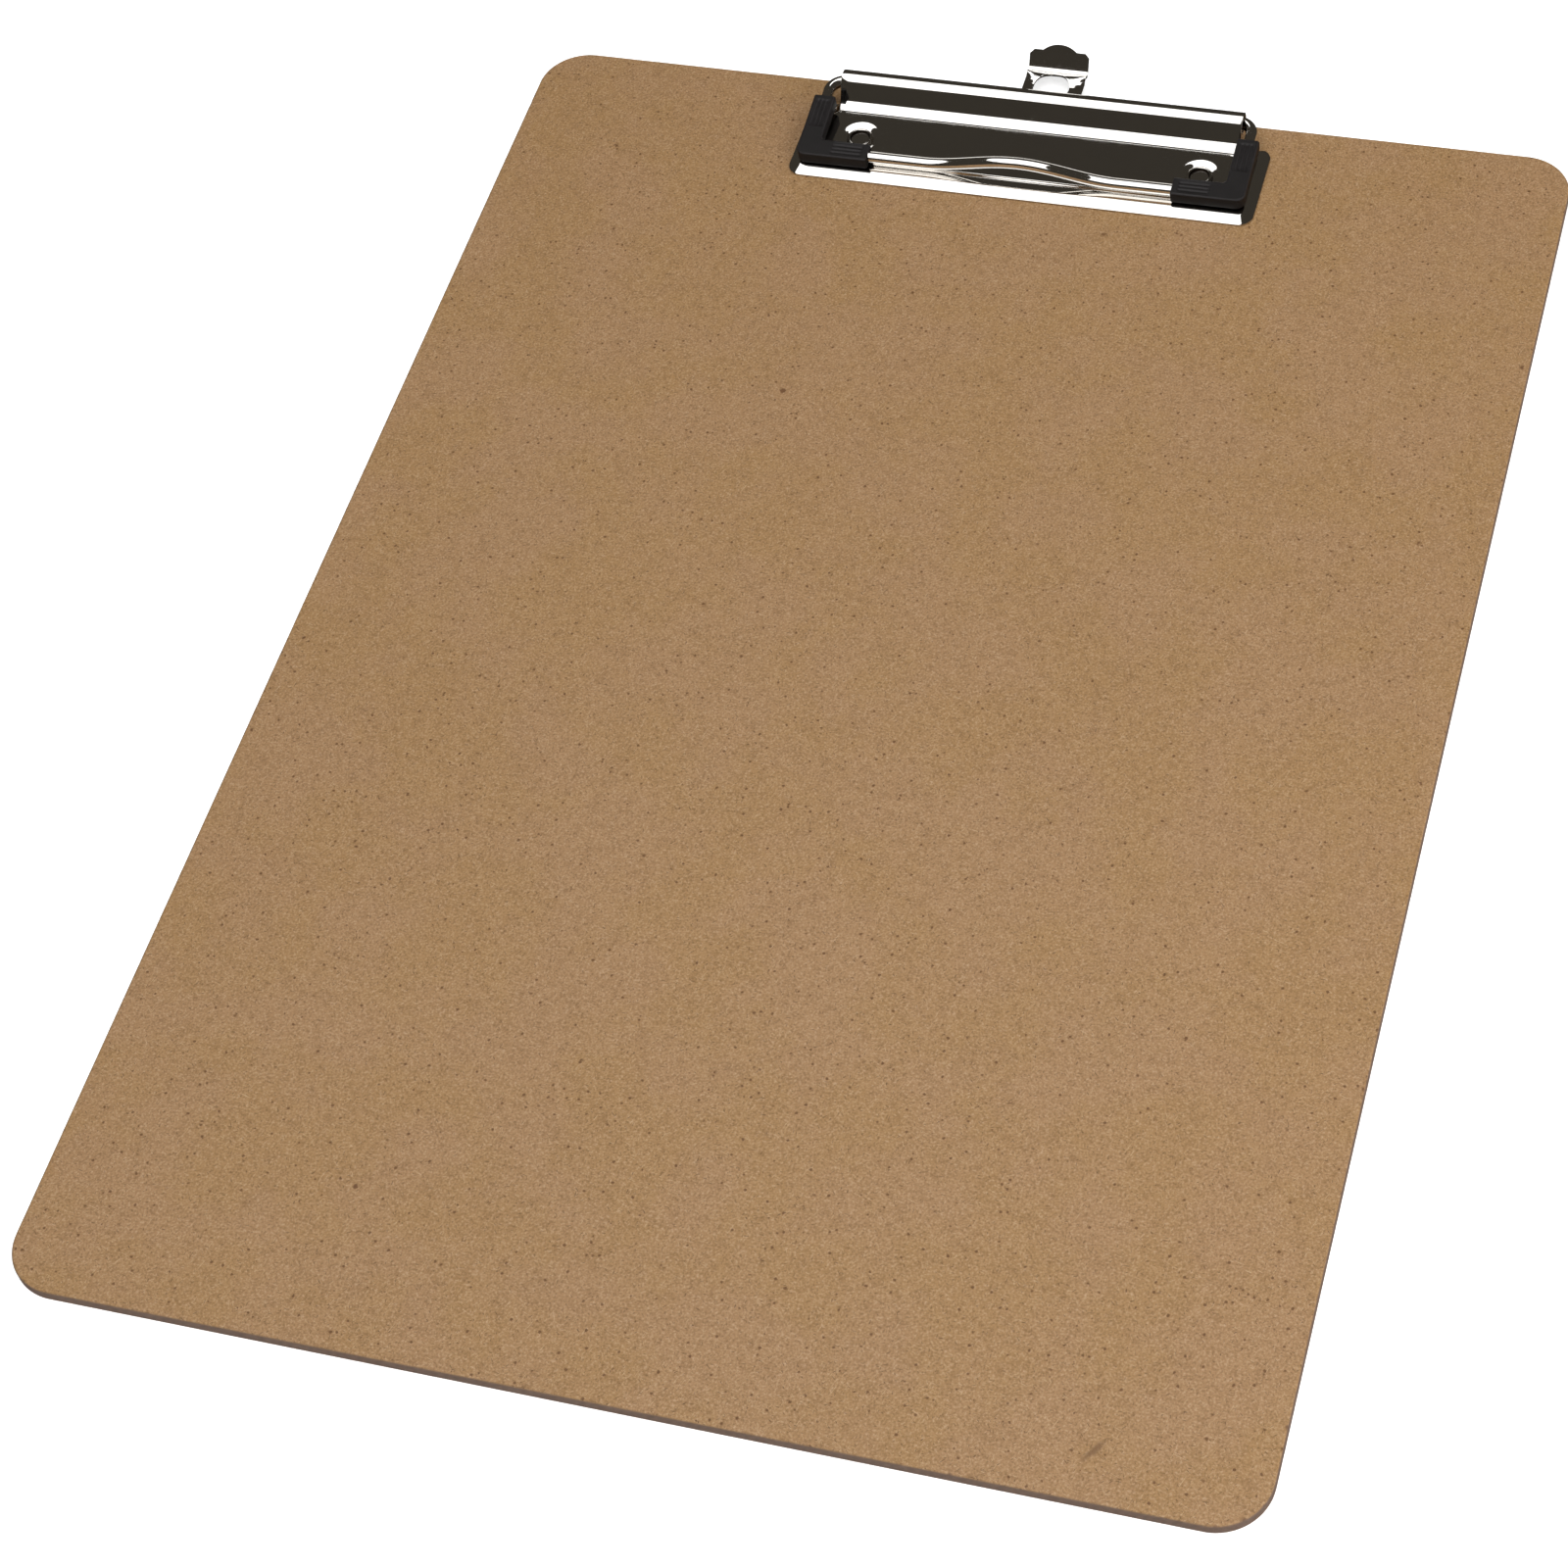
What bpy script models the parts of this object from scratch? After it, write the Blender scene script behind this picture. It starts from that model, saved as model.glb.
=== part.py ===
"""Hardboard clipboard with a low-profile wire clip and a pull-out hanging tab.

Metres, +Z up.  The origin is the middle of the board's back face, +Y points to the clip end
and +X to the right.  The bail (wire and its two rubber corners) turns about the axis of the
rolled edge, and the hanging tab slides along Y between the clip's base plate and the board.
"""
from math import acos, atan2, cos, hypot, pi, radians, sin

import bmesh
import bpy
from mathutils import Vector

MM = 0.001

# Board
BOARD_WIDTH = 225 * MM
BOARD_LENGTH = 315 * MM
BOARD_THICKNESS = 2.5 * MM
BOARD_CORNER_RADIUS = 10 * MM
BOARD_EDGE_ROUND = 0.3 * MM

# Base plate: a pressed sheet, open underneath
SHEET = 0.45 * MM
FLOOR_Z = 3.85 * MM
LEDGE_Z = 3.45 * MM
RIM_Z = 3.08 * MM
RIM_WIDTH = 2.9 * MM
PLATE_HALF_WIDTH = 50.25 * MM
PLATE_FRONT_Y = 128.0 * MM
PLATE_REAR_Y = 150.5 * MM
PLATE_CORNER = 3.0 * MM
STEP_START_Y = 132.1 * MM
STEP_END_Y = 133.4 * MM
BEND_Y = 147.2 * MM
BEND_RADIUS = 2.75 * MM
WALL_HALF_WIDTH = 43.7 * MM
EAR_INNER_X = 44.3 * MM
DISH_DEPTH = 0.73 * MM
DISH_RADIUS = 6.8 * MM
DISH_GRID = (-6.8 * MM, -5.6 * MM, -4.5 * MM, -3.5 * MM, -2.5 * MM, 0.0,
             2.5 * MM, 3.5 * MM, 4.5 * MM, 5.6 * MM)
STEP_GRID_Y = (132.5 * MM, 133.0 * MM)
FLOOR_GRID_X = (7 * MM, 14 * MM, 21 * MM)
STOP_SIZE = (1.8 * MM, 0.8 * MM, 0.8 * MM)
STOP_CENTRE = (8.1 * MM, 146.8 * MM, 3.2 * MM)

# Rolled edge, which is the bail's bearing
ROLL_Y = 152.9 * MM
ROLL_Z = 7.33 * MM
ROLL_RADIUS = 2.3 * MM
ROLL_TURN = radians(288)

# Bail wire, laid out flat about the pivot axis and then tilted down at the front
WIRE_RADIUS = 1.25 * MM
BAR_Y = 132.9 * MM
BAR_Z = 5.65 * MM
ARM_X = 46.0 * MM
FRONT_BEND = 2.8 * MM
REAR_BEND = 3.2 * MM
LIMB_END_X = 12.0 * MM
ARCH_HALF_WIDTH = 19.5 * MM
ARCH_RISE = 3.15 * MM
BAIL_REACH = hypot(ROLL_Y - BAR_Y, ROLL_Z - BAR_Z)
BAIL_TILT = atan2(ROLL_Z - BAR_Z, ROLL_Y - BAR_Y)

# Rubber corners, in the bail's own plane
COVER_HALF_LEG = 2.33 * MM
COVER_BAR_END_X = 32.7 * MM
COVER_ARM_END_Y = -5.7 * MM
COVER_BOTTOM = -1.6 * MM
COVER_TOP = 1.6 * MM
COVER_CORNER = 2.0 * MM
COVER_INNER_CORNER = 1.0 * MM
COVER_END_ROUND = 0.7 * MM
COVER_EDGE_ROUND = 0.55 * MM
COVER_BORE_CLEARANCE = 0.08 * MM
GROOVE_RADIUS = 0.24 * MM
GROOVE_PITCH = 0.95 * MM
ARM_GROOVES_Y = (-14.2 * MM, -7.0 * MM)
BAR_GROOVES_X = (34.2 * MM, 40.6 * MM)

# Tubular rivets
RIVET_X = 36.9 * MM
RIVET_Y = 139.6 * MM
SHANK_RADIUS = 2.1 * MM
SHANK_TOP_Z = 3.3 * MM
BORE_RADIUS = 1.7 * MM
BORE_FLOOR_Z = 2.0 * MM
BORE_LOW_Z = 2.3 * MM
BORE_HIGH_Z = 3.2 * MM
RIVET_HOLE_RADIUS = 2.4 * MM
HEAD_RADIUS = 3.6 * MM
HEAD_TOP_Z = 1.0 * MM
HEAD_BOTTOM_Z = 0.15 * MM
HEAD_ROUND = 0.2 * MM
HEAD_POCKET_RADIUS = 4.0 * MM
HEAD_POCKET_DEPTH = 1.3 * MM
RING_RADIUS = 2.55 * MM
RING_ROUND = 0.38 * MM
RING_Z = 3.8 * MM

# Hanging tab
TAB_SHEET = 0.5 * MM
TAB_TOP_Z = 3.2 * MM
TAB_HALF_WIDTH = 6.5 * MM
TAB_HEAD_HALF_WIDTH = 10.0 * MM
TAB_INNER_Y = 143.1 * MM
TAB_SHOULDER_Y = 146.1 * MM
TAB_BEND_Y = 166.2 * MM
TAB_BEND_RADIUS = 1.1 * MM
TAB_BEND_ANGLE = radians(56)
TAB_LIP = 3.6 * MM
TAB_LIP_CORNER = 0.9 * MM
TAB_BUMP_HALF_WIDTH = 3.7 * MM
TAB_BUMP_RISE = 1.4 * MM
TAB_HOLE_CENTRE = (-0.35 * MM, 161.6 * MM)
TAB_HOLE_RADIUS = 3.95 * MM


def make_collection(name):
    """Add a collection to the scene."""
    collection = bpy.data.collections.new(name)
    bpy.context.scene.collection.children.link(collection)
    return collection


def make_material(name, colour, roughness, metallic=0.0):
    """One Principled material in a plain colour."""
    material = bpy.data.materials.new(name)
    material.use_nodes = True
    shader = material.node_tree.nodes["Principled BSDF"]
    shader.inputs["Base Color"].default_value = (*colour, 1.0)
    shader.inputs["Roughness"].default_value = roughness
    shader.inputs["Metallic"].default_value = metallic
    return material


def put(obj, collection, material=None):
    """Move an object into a collection and give it its material."""
    for holder in list(obj.users_collection):
        holder.objects.unlink(obj)
    collection.objects.link(obj)
    if material:
        obj.data.materials.clear()
        obj.data.materials.append(material)
    return obj


def add_mesh(name, bm):
    """Turn a bmesh into an object of the scene."""
    mesh = bpy.data.meshes.new(name)
    bm.to_mesh(mesh)
    bm.free()
    obj = bpy.data.objects.new(name, mesh)
    bpy.context.scene.collection.objects.link(obj)
    return obj


def smooth(obj, angle=radians(35)):
    """Shade an object smooth except at its sharp edges."""
    obj.data.shade_smooth()
    obj.data.set_sharp_from_angle(angle=angle)


def arc(centre, radius, start, end, steps):
    """Points along an arc in a plane, both ends included."""
    turns = [start + (end - start) * i / steps for i in range(steps + 1)]
    return [(centre[0] + radius * cos(t), centre[1] + radius * sin(t)) for t in turns]


def outline_curve(name, loops, half_thickness, edge_round=0.0):
    """A filled flat outline with rounded edges; every loop after the first is a hole."""
    curve = bpy.data.curves.new(name, "CURVE")
    curve.dimensions = "2D"
    curve.fill_mode = "BOTH"
    curve.extrude = half_thickness - edge_round
    curve.bevel_depth = edge_round
    curve.offset = -edge_round
    curve.bevel_resolution = 2
    for loop in loops:
        spline = curve.splines.new("POLY")
        spline.points.add(len(loop) - 1)
        for point, (x, y) in zip(spline.points, loop):
            point.co = (x, y, 0.0, 1.0)
        spline.use_cyclic_u = True
    obj = bpy.data.objects.new(name, curve)
    bpy.context.scene.collection.objects.link(obj)
    return obj


def wire_curve(name, points, radius, resolution):
    """A round wire through the given points, with closed ends."""
    curve = bpy.data.curves.new(name, "CURVE")
    curve.dimensions = "3D"
    curve.bevel_depth = radius
    curve.bevel_resolution = resolution
    curve.use_fill_caps = True
    spline = curve.splines.new("POLY")
    spline.points.add(len(points) - 1)
    for point, place in zip(spline.points, points):
        point.co = (*place, 1.0)
    obj = bpy.data.objects.new(name, curve)
    bpy.context.scene.collection.objects.link(obj)
    return obj


def to_mesh(curve_object):
    """Replace a curve object by a welded mesh object of the same name and place."""
    bpy.context.view_layer.update()
    evaluated = curve_object.evaluated_get(bpy.context.evaluated_depsgraph_get())
    mesh = bpy.data.meshes.new_from_object(evaluated)
    bm = bmesh.new()
    bm.from_mesh(mesh)
    bmesh.ops.remove_doubles(bm, verts=bm.verts, dist=1e-6)
    bmesh.ops.recalc_face_normals(bm, faces=bm.faces)
    bm.to_mesh(mesh)
    bm.free()
    name = curve_object.name
    place = curve_object.matrix_world.copy()
    bpy.data.objects.remove(curve_object)
    obj = bpy.data.objects.new(name, mesh)
    obj.matrix_world = place
    bpy.context.scene.collection.objects.link(obj)
    return obj


def make_cutter(obj):
    """Put a cutter away: it shapes its neighbour and isn't a part."""
    put(obj, cutters)
    obj.hide_render = True
    obj.display_type = "WIRE"
    return obj


def combine(obj, other, operation):
    """Give an object a Boolean with another."""
    boolean = obj.modifiers.new(operation.title() + " " + other.name, "BOOLEAN")
    boolean.operation = operation
    boolean.object = other
    boolean.solver = "EXACT"


def cylinder_cutter(name, radius, centre, depth):
    """An upright round cutter."""
    bpy.ops.mesh.primitive_cylinder_add(vertices=32, radius=radius, depth=depth, location=centre)
    obj = bpy.context.object
    obj.name = name
    return make_cutter(obj)


def make_board():
    """The hardboard panel, with two rivet holes and pockets for the rivets' flat heads."""
    x = BOARD_WIDTH / 2 - BOARD_CORNER_RADIUS
    y = BOARD_LENGTH / 2 - BOARD_CORNER_RADIUS
    corners = [(x, y), (-x, y), (-x, -y), (x, -y)]
    loop = []
    for quarter, centre in enumerate(corners):
        loop += arc(centre, BOARD_CORNER_RADIUS, quarter * pi / 2, (quarter + 1) * pi / 2, 10)
    board = to_mesh(outline_curve("board_panel", [loop], BOARD_THICKNESS / 2, BOARD_EDGE_ROUND))
    board.location.z = BOARD_THICKNESS / 2
    put(board, parts, hardboard)
    for side, x_sign in SIDES:
        hole = cylinder_cutter(f"board_hole_{side}", RIVET_HOLE_RADIUS,
                               (x_sign * RIVET_X, RIVET_Y, BOARD_THICKNESS / 2), 4 * BOARD_THICKNESS)
        pocket = cylinder_cutter(f"board_pocket_{side}", HEAD_POCKET_RADIUS,
                                 (x_sign * RIVET_X, RIVET_Y, 0), 2 * HEAD_POCKET_DEPTH)
        combine(board, hole, "DIFFERENCE")
        combine(board, pocket, "DIFFERENCE")


def plate_stations():
    """Grid lines of the base plate's floor, closer together where the sheet is curved."""
    rim = [PLATE_CORNER * i / 5 for i in range(6)]
    xs = {round(PLATE_HALF_WIDTH - offset, 7) for offset in rim}
    xs |= {round(RIVET_X + offset, 7) for offset in DISH_GRID}
    xs |= {WALL_HALF_WIDTH, EAR_INNER_X, *FLOOR_GRID_X}
    xs = sorted(xs | {-x for x in xs} | {0.0})
    ys = {round(PLATE_FRONT_Y + offset, 7) for offset in rim}
    ys |= {round(PLATE_REAR_Y - offset, 7) for offset in rim}
    ys |= {STEP_START_Y, *STEP_GRID_Y, STEP_END_Y, BEND_Y}
    ys |= {round(RIVET_Y + offset, 7) for offset in DISH_GRID[1:]}
    return xs, sorted(ys)


def plate_point(x, y):
    """The place of one grid point of the plate's top face: rounded corners, rolled-down rim."""
    middle_y = (PLATE_FRONT_Y + PLATE_REAR_Y) / 2
    u = abs(x) - (PLATE_HALF_WIDTH - PLATE_CORNER)
    v = abs(y - middle_y) - ((PLATE_REAR_Y - PLATE_FRONT_Y) / 2 - PLATE_CORNER)
    edge_distance = PLATE_CORNER - max(u, v)
    if u > 0 and v > 0:
        a, b = u / PLATE_CORNER, v / PLATE_CORNER
        new_u = u * (1 - b * b / 2) ** 0.5
        new_v = v * (1 - a * a / 2) ** 0.5
        x += (new_u - u) * (1 if x > 0 else -1)
        y += (new_v - v) * (1 if y > middle_y else -1)
        edge_distance = PLATE_CORNER - hypot(new_u, new_v)
    if y > middle_y and abs(x) < EAR_INNER_X:
        edge_distance = RIM_WIDTH
    rise = min(max((y - STEP_START_Y) / (STEP_END_Y - STEP_START_Y), 0), 1)
    z = LEDGE_Z + (FLOOR_Z - LEDGE_Z) * rise * rise * (3 - 2 * rise)
    z -= (z - RIM_Z) * (1 - min(edge_distance / RIM_WIDTH, 1)) ** 2
    from_rivet = hypot(abs(x) - RIVET_X, y - RIVET_Y) / DISH_RADIUS
    if from_rivet < 1:
        z -= DISH_DEPTH * (1 - from_rivet ** 2) ** 2
    return Vector((x, y, z))


def end_edges(geometry):
    """The edges among the geometry that an extrusion or spin returned."""
    return [item for item in geometry if isinstance(item, bmesh.types.BMEdge)]


def make_base_plate():
    """The pressed base plate: floor, rolled-down rim, rear wall and rolled edge in one sheet."""
    xs, ys = plate_stations()
    bm = bmesh.new()
    bmesh.ops.create_grid(bm, x_segments=len(xs) - 1, y_segments=len(ys) - 1, size=0.5)
    gone = []
    for face in bm.faces:
        centre = face.calc_center_median()
        x = xs[int((centre.x + 0.5) * (len(xs) - 1))]
        y = ys[int((centre.y + 0.5) * (len(ys) - 1))]
        if y > BEND_Y - 1e-7 and -EAR_INNER_X - 1e-7 < x < EAR_INNER_X - 1e-7:
            gone.append(face)
    for vertex in bm.verts:
        column = round((vertex.co.x + 0.5) * (len(xs) - 1))
        row = round((vertex.co.y + 0.5) * (len(ys) - 1))
        vertex.co = plate_point(xs[column], ys[row])
    bmesh.ops.delete(bm, geom=gone, context="FACES")

    bend_centre = Vector((0, BEND_Y, FLOOR_Z + BEND_RADIUS))
    roll_centre = Vector((0, ROLL_Y, ROLL_Z))
    across = roll_centre - bend_centre
    slope = pi / 2 - acos((BEND_RADIUS + ROLL_RADIUS) / across.length) + atan2(across.z, across.y)
    base = [edge for edge in bm.edges if edge.is_boundary
            and all(abs(vertex.co.y - BEND_Y) < 1e-7 for vertex in edge.verts)
            and all(abs(vertex.co.x) < WALL_HALF_WIDTH + 1e-7 for vertex in edge.verts)]
    ring = list({vertex for edge in base for vertex in edge.verts})
    bend = bmesh.ops.spin(bm, geom=base + ring, cent=bend_centre, axis=(1, 0, 0), angle=slope, steps=6)
    wall = bmesh.ops.extrude_edge_only(bm, edges=end_edges(bend["geom_last"]))
    wall_top = [item for item in wall["geom"] if isinstance(item, bmesh.types.BMVert)]
    length = (across.length ** 2 - (BEND_RADIUS + ROLL_RADIUS) ** 2) ** 0.5
    bmesh.ops.translate(bm, verts=wall_top, vec=(0, length * cos(slope), length * sin(slope)))
    bmesh.ops.spin(bm, geom=end_edges(wall["geom"]) + wall_top, cent=roll_centre, axis=(1, 0, 0),
                   angle=-ROLL_TURN, steps=24)
    bmesh.ops.recalc_face_normals(bm, faces=bm.faces)
    if sum(face.normal.z * face.calc_area() for face in bm.faces) < 0:
        bmesh.ops.reverse_faces(bm, faces=bm.faces)
    plate = add_mesh("clip_base_plate", bm)
    put(plate, parts, chrome)

    sheet = plate.modifiers.new("Sheet thickness", "SOLIDIFY")
    sheet.thickness = SHEET
    sheet.offset = -1
    sheet.use_even_offset = True
    for side, x_sign in SIDES:
        bpy.ops.mesh.primitive_cube_add(size=1, location=(x_sign * STOP_CENTRE[0], *STOP_CENTRE[1:]),
                                        scale=STOP_SIZE)
        stop = bpy.context.object
        stop.name = f"tab_stop_{side}"
        combine(plate, make_cutter(stop), "UNION")
        hole = cylinder_cutter(f"plate_hole_{side}", RIVET_HOLE_RADIUS,
                               (x_sign * RIVET_X, RIVET_Y, FLOOR_Z), 10 * SHEET)
        combine(plate, hole, "DIFFERENCE")
    smooth(plate)


def bail_route():
    """The wire's centre line about the pivot: limb, arm, front bar with its arch, arm, limb."""
    half = []
    steps = 16
    for i in range(steps + 1):
        x = ARCH_HALF_WIDTH * i / steps
        half.append((x, -BAIL_REACH, ARCH_RISE * (1 + cos(pi * x / ARCH_HALF_WIDTH)) / 2))
    front = (ARM_X - FRONT_BEND, FRONT_BEND - BAIL_REACH)
    rear = (ARM_X - REAR_BEND, -REAR_BEND)
    half += [(x, y, 0.0) for x, y in arc(front, FRONT_BEND, -pi / 2, 0, 8)]
    half += [(x, y, 0.0) for x, y in arc(rear, REAR_BEND, 0, pi / 2, 8)]
    half.append((LIMB_END_X, 0.0, 0.0))
    return [(-x, y, z) for x, y, z in reversed(half[1:])] + half


def make_pivot():
    """An empty on the pivot axis that carries the bail, tilted down at the front."""
    pivot = bpy.data.objects.new("bail_pivot", None)
    pivot.location = (0, ROLL_Y, ROLL_Z)
    pivot.rotation_euler = (BAIL_TILT, 0, 0)
    parts.objects.link(pivot)
    return pivot


def make_bail_wire(pivot):
    """The sprung wire that holds the paper down."""
    wire = to_mesh(wire_curve("bail_wire", bail_route(), WIRE_RADIUS, 4))
    put(wire, parts, chrome)
    wire.parent = pivot
    smooth(wire)


def cover_loop(x_sign):
    """The L-shaped outline of one rubber corner, seen from above, in the bail's plane."""
    out_x = ARM_X + COVER_HALF_LEG
    in_x = ARM_X - COVER_HALF_LEG
    front_y = -BAIL_REACH - COVER_HALF_LEG
    back_y = -BAIL_REACH + COVER_HALF_LEG
    end = COVER_END_ROUND
    loop = arc((COVER_BAR_END_X + end, back_y - end), end, pi / 2, pi, 3)
    loop += arc((COVER_BAR_END_X + end, front_y + end), end, pi, 3 * pi / 2, 3)
    loop += arc((out_x - COVER_CORNER, front_y + COVER_CORNER), COVER_CORNER, -pi / 2, 0, 6)
    loop += arc((out_x - end, COVER_ARM_END_Y - end), end, 0, pi / 2, 3)
    loop += arc((in_x + end, COVER_ARM_END_Y - end), end, pi / 2, pi, 3)
    inner = COVER_INNER_CORNER
    loop += arc((in_x - inner, back_y + inner), inner, 0, -pi / 2, 4)
    return [(x_sign * x, y) for x, y in loop]


def groove_cutter(name, start, end):
    """A thin round bar that presses one groove into a cover's top."""
    return make_cutter(to_mesh(wire_curve(name, [start, end], GROOVE_RADIUS, 1)))


def make_cover(side, x_sign, pivot):
    """One moulded rubber corner, with its bore for the wire and its gripping grooves."""
    cover = to_mesh(outline_curve(f"corner_cover_{side}", [cover_loop(x_sign)],
                                  (COVER_TOP - COVER_BOTTOM) / 2, COVER_EDGE_ROUND))
    cover.location.z = (COVER_TOP + COVER_BOTTOM) / 2
    put(cover, parts, rubber)
    cover.parent = pivot
    bore = to_mesh(wire_curve(f"cover_bore_{side}", bail_route(), WIRE_RADIUS + COVER_BORE_CLEARANCE, 3))
    bore.parent = pivot
    combine(cover, make_cutter(bore), "DIFFERENCE")
    for i in (-1, 0, 1):
        x = x_sign * (ARM_X + i * GROOVE_PITCH)
        groove = groove_cutter(f"arm_groove_{side}_{i + 1}", (x, ARM_GROOVES_Y[0], COVER_TOP),
                               (x, ARM_GROOVES_Y[1], COVER_TOP))
        groove.parent = pivot
        combine(cover, groove, "DIFFERENCE")
        y = -BAIL_REACH + i * GROOVE_PITCH
        start, end = [(x_sign * x, y, COVER_TOP) for x in BAR_GROOVES_X]
        groove = groove_cutter(f"bar_groove_{side}_{i + 1}", start, end)
        groove.parent = pivot
        combine(cover, groove, "DIFFERENCE")
    smooth(cover)


def make_rivet(side, x_sign):
    """A tubular rivet: flat head in the board's back, hollow end rolled over on the plate."""
    profile = [(0, BORE_FLOOR_Z), (BORE_RADIUS, BORE_LOW_Z), (BORE_RADIUS, BORE_HIGH_Z)]
    profile += arc((RING_RADIUS, RING_Z), RING_ROUND, pi, -pi / 4, 9)
    profile += [(SHANK_RADIUS, SHANK_TOP_Z), (SHANK_RADIUS, HEAD_TOP_Z),
                (HEAD_RADIUS - HEAD_ROUND, HEAD_TOP_Z), (HEAD_RADIUS, HEAD_TOP_Z - HEAD_ROUND),
                (HEAD_RADIUS, HEAD_BOTTOM_Z + HEAD_ROUND), (HEAD_RADIUS - HEAD_ROUND, HEAD_BOTTOM_Z),
                (0, HEAD_BOTTOM_Z)]
    bm = bmesh.new()
    points = [bm.verts.new((r, 0, z)) for r, z in profile]
    for first, second in zip(points, points[1:]):
        bm.edges.new((first, second))
    rivet = add_mesh(f"tubular_rivet_{side}", bm)
    rivet.location = (x_sign * RIVET_X, RIVET_Y, 0)
    put(rivet, parts, nickel)
    turn = rivet.modifiers.new("Turned shape", "SCREW")
    turn.steps = 28
    turn.render_steps = 28
    turn.use_merge_vertices = True
    turn.merge_threshold = 0.00001
    turn.use_smooth_shade = True


def tab_pattern():
    """The hanging tab's flat pattern: stop shoulders at the inner end, a humped lip outside."""
    lip_y = TAB_BEND_Y + TAB_BEND_RADIUS * TAB_BEND_ANGLE + TAB_LIP
    bump_radius = (TAB_BUMP_HALF_WIDTH ** 2 + TAB_BUMP_RISE ** 2) / (2 * TAB_BUMP_RISE)
    bump_y = lip_y + TAB_BUMP_RISE - bump_radius
    spread = atan2(TAB_BUMP_HALF_WIDTH, bump_radius - TAB_BUMP_RISE)
    right = [(TAB_HEAD_HALF_WIDTH, TAB_INNER_Y), (TAB_HEAD_HALF_WIDTH, TAB_SHOULDER_Y),
             (TAB_HALF_WIDTH, TAB_SHOULDER_Y), (TAB_HALF_WIDTH, lip_y - TAB_LIP_CORNER),
             (TAB_HALF_WIDTH - TAB_LIP_CORNER, lip_y)]
    hump = arc((0, bump_y), bump_radius, pi / 2 - spread, pi / 2 + spread, 12)
    return right + hump + [(-x, y) for x, y in reversed(right)]


def fold(y):
    """Where a height of the flat pattern lands once the lip is bent up: (y, z)."""
    bend_length = TAB_BEND_RADIUS * TAB_BEND_ANGLE
    along = y - TAB_BEND_Y
    if along <= 0:
        return y, TAB_TOP_Z
    angle = min(along, bend_length) / TAB_BEND_RADIUS
    rest = max(along - bend_length, 0)
    return (TAB_BEND_Y + TAB_BEND_RADIUS * sin(angle) + rest * cos(angle),
            TAB_TOP_Z + TAB_BEND_RADIUS * (1 - cos(angle)) + rest * sin(angle))


def make_hanger_tab():
    """The sliding tab: cut flat with its nail hole, folded at the lip, then given thickness."""
    hole = arc(TAB_HOLE_CENTRE, TAB_HOLE_RADIUS, 0, 2 * pi * 31 / 32, 31)
    tab = to_mesh(outline_curve("hanger_tab", [tab_pattern(), hole], 0))
    bm = bmesh.new()
    bm.from_mesh(tab.data)
    for i in range(7):
        y = TAB_BEND_Y + TAB_BEND_RADIUS * TAB_BEND_ANGLE * i / 6
        everything = bm.verts[:] + bm.edges[:] + bm.faces[:]
        bmesh.ops.bisect_plane(bm, geom=everything, plane_co=(0, y, 0), plane_no=(0, 1, 0))
    for vertex in bm.verts:
        vertex.co.y, vertex.co.z = fold(vertex.co.y)
    bmesh.ops.recalc_face_normals(bm, faces=bm.faces)
    if sum(face.normal.z * face.calc_area() for face in bm.faces) < 0:
        bmesh.ops.reverse_faces(bm, faces=bm.faces)
    bm.to_mesh(tab.data)
    bm.free()
    put(tab, parts, chrome)
    sheet = tab.modifiers.new("Sheet thickness", "SOLIDIFY")
    sheet.thickness = TAB_SHEET
    sheet.offset = -1
    sheet.use_even_offset = True
    smooth(tab)


SIDES = (("left", -1), ("right", 1))

for old in list(bpy.data.objects):
    bpy.data.objects.remove(old)
parts = make_collection("clipboard")
cutters = make_collection("clipboard cutters")

hardboard = make_material("hardboard", (0.32, 0.20, 0.11), 0.7)
chrome = make_material("chrome", (0.80, 0.79, 0.77), 0.12, 1.0)
nickel = make_material("nickel", (0.74, 0.72, 0.69), 0.18, 1.0)
rubber = make_material("rubber", (0.02, 0.018, 0.019), 0.6)

make_board()
make_base_plate()
bail_pivot = make_pivot()
make_bail_wire(bail_pivot)
for side_name, sign in SIDES:
    make_cover(side_name, sign, bail_pivot)
    make_rivet(side_name, sign)
make_hanger_tab()
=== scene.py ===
"""The looks of a hardboard clipboard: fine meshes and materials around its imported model."""
from math import acos, atan2, cos, exp, hypot, pi, radians, sin

import bmesh
import bpy
from mathutils import Matrix, Vector, noise


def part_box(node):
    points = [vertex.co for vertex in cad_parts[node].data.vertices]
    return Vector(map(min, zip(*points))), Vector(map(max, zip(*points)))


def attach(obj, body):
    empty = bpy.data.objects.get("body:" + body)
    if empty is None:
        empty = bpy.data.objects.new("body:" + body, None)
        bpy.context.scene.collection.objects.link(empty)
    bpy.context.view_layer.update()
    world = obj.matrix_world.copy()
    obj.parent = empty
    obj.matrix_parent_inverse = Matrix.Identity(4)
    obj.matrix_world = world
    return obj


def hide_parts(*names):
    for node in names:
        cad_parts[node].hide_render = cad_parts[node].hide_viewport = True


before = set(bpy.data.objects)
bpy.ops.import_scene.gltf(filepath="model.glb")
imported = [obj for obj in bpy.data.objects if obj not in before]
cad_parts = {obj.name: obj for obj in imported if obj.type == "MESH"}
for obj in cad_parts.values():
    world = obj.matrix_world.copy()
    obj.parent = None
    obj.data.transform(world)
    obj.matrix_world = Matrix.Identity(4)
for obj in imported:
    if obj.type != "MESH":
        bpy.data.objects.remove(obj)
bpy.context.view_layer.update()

MM = 0.001

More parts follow.
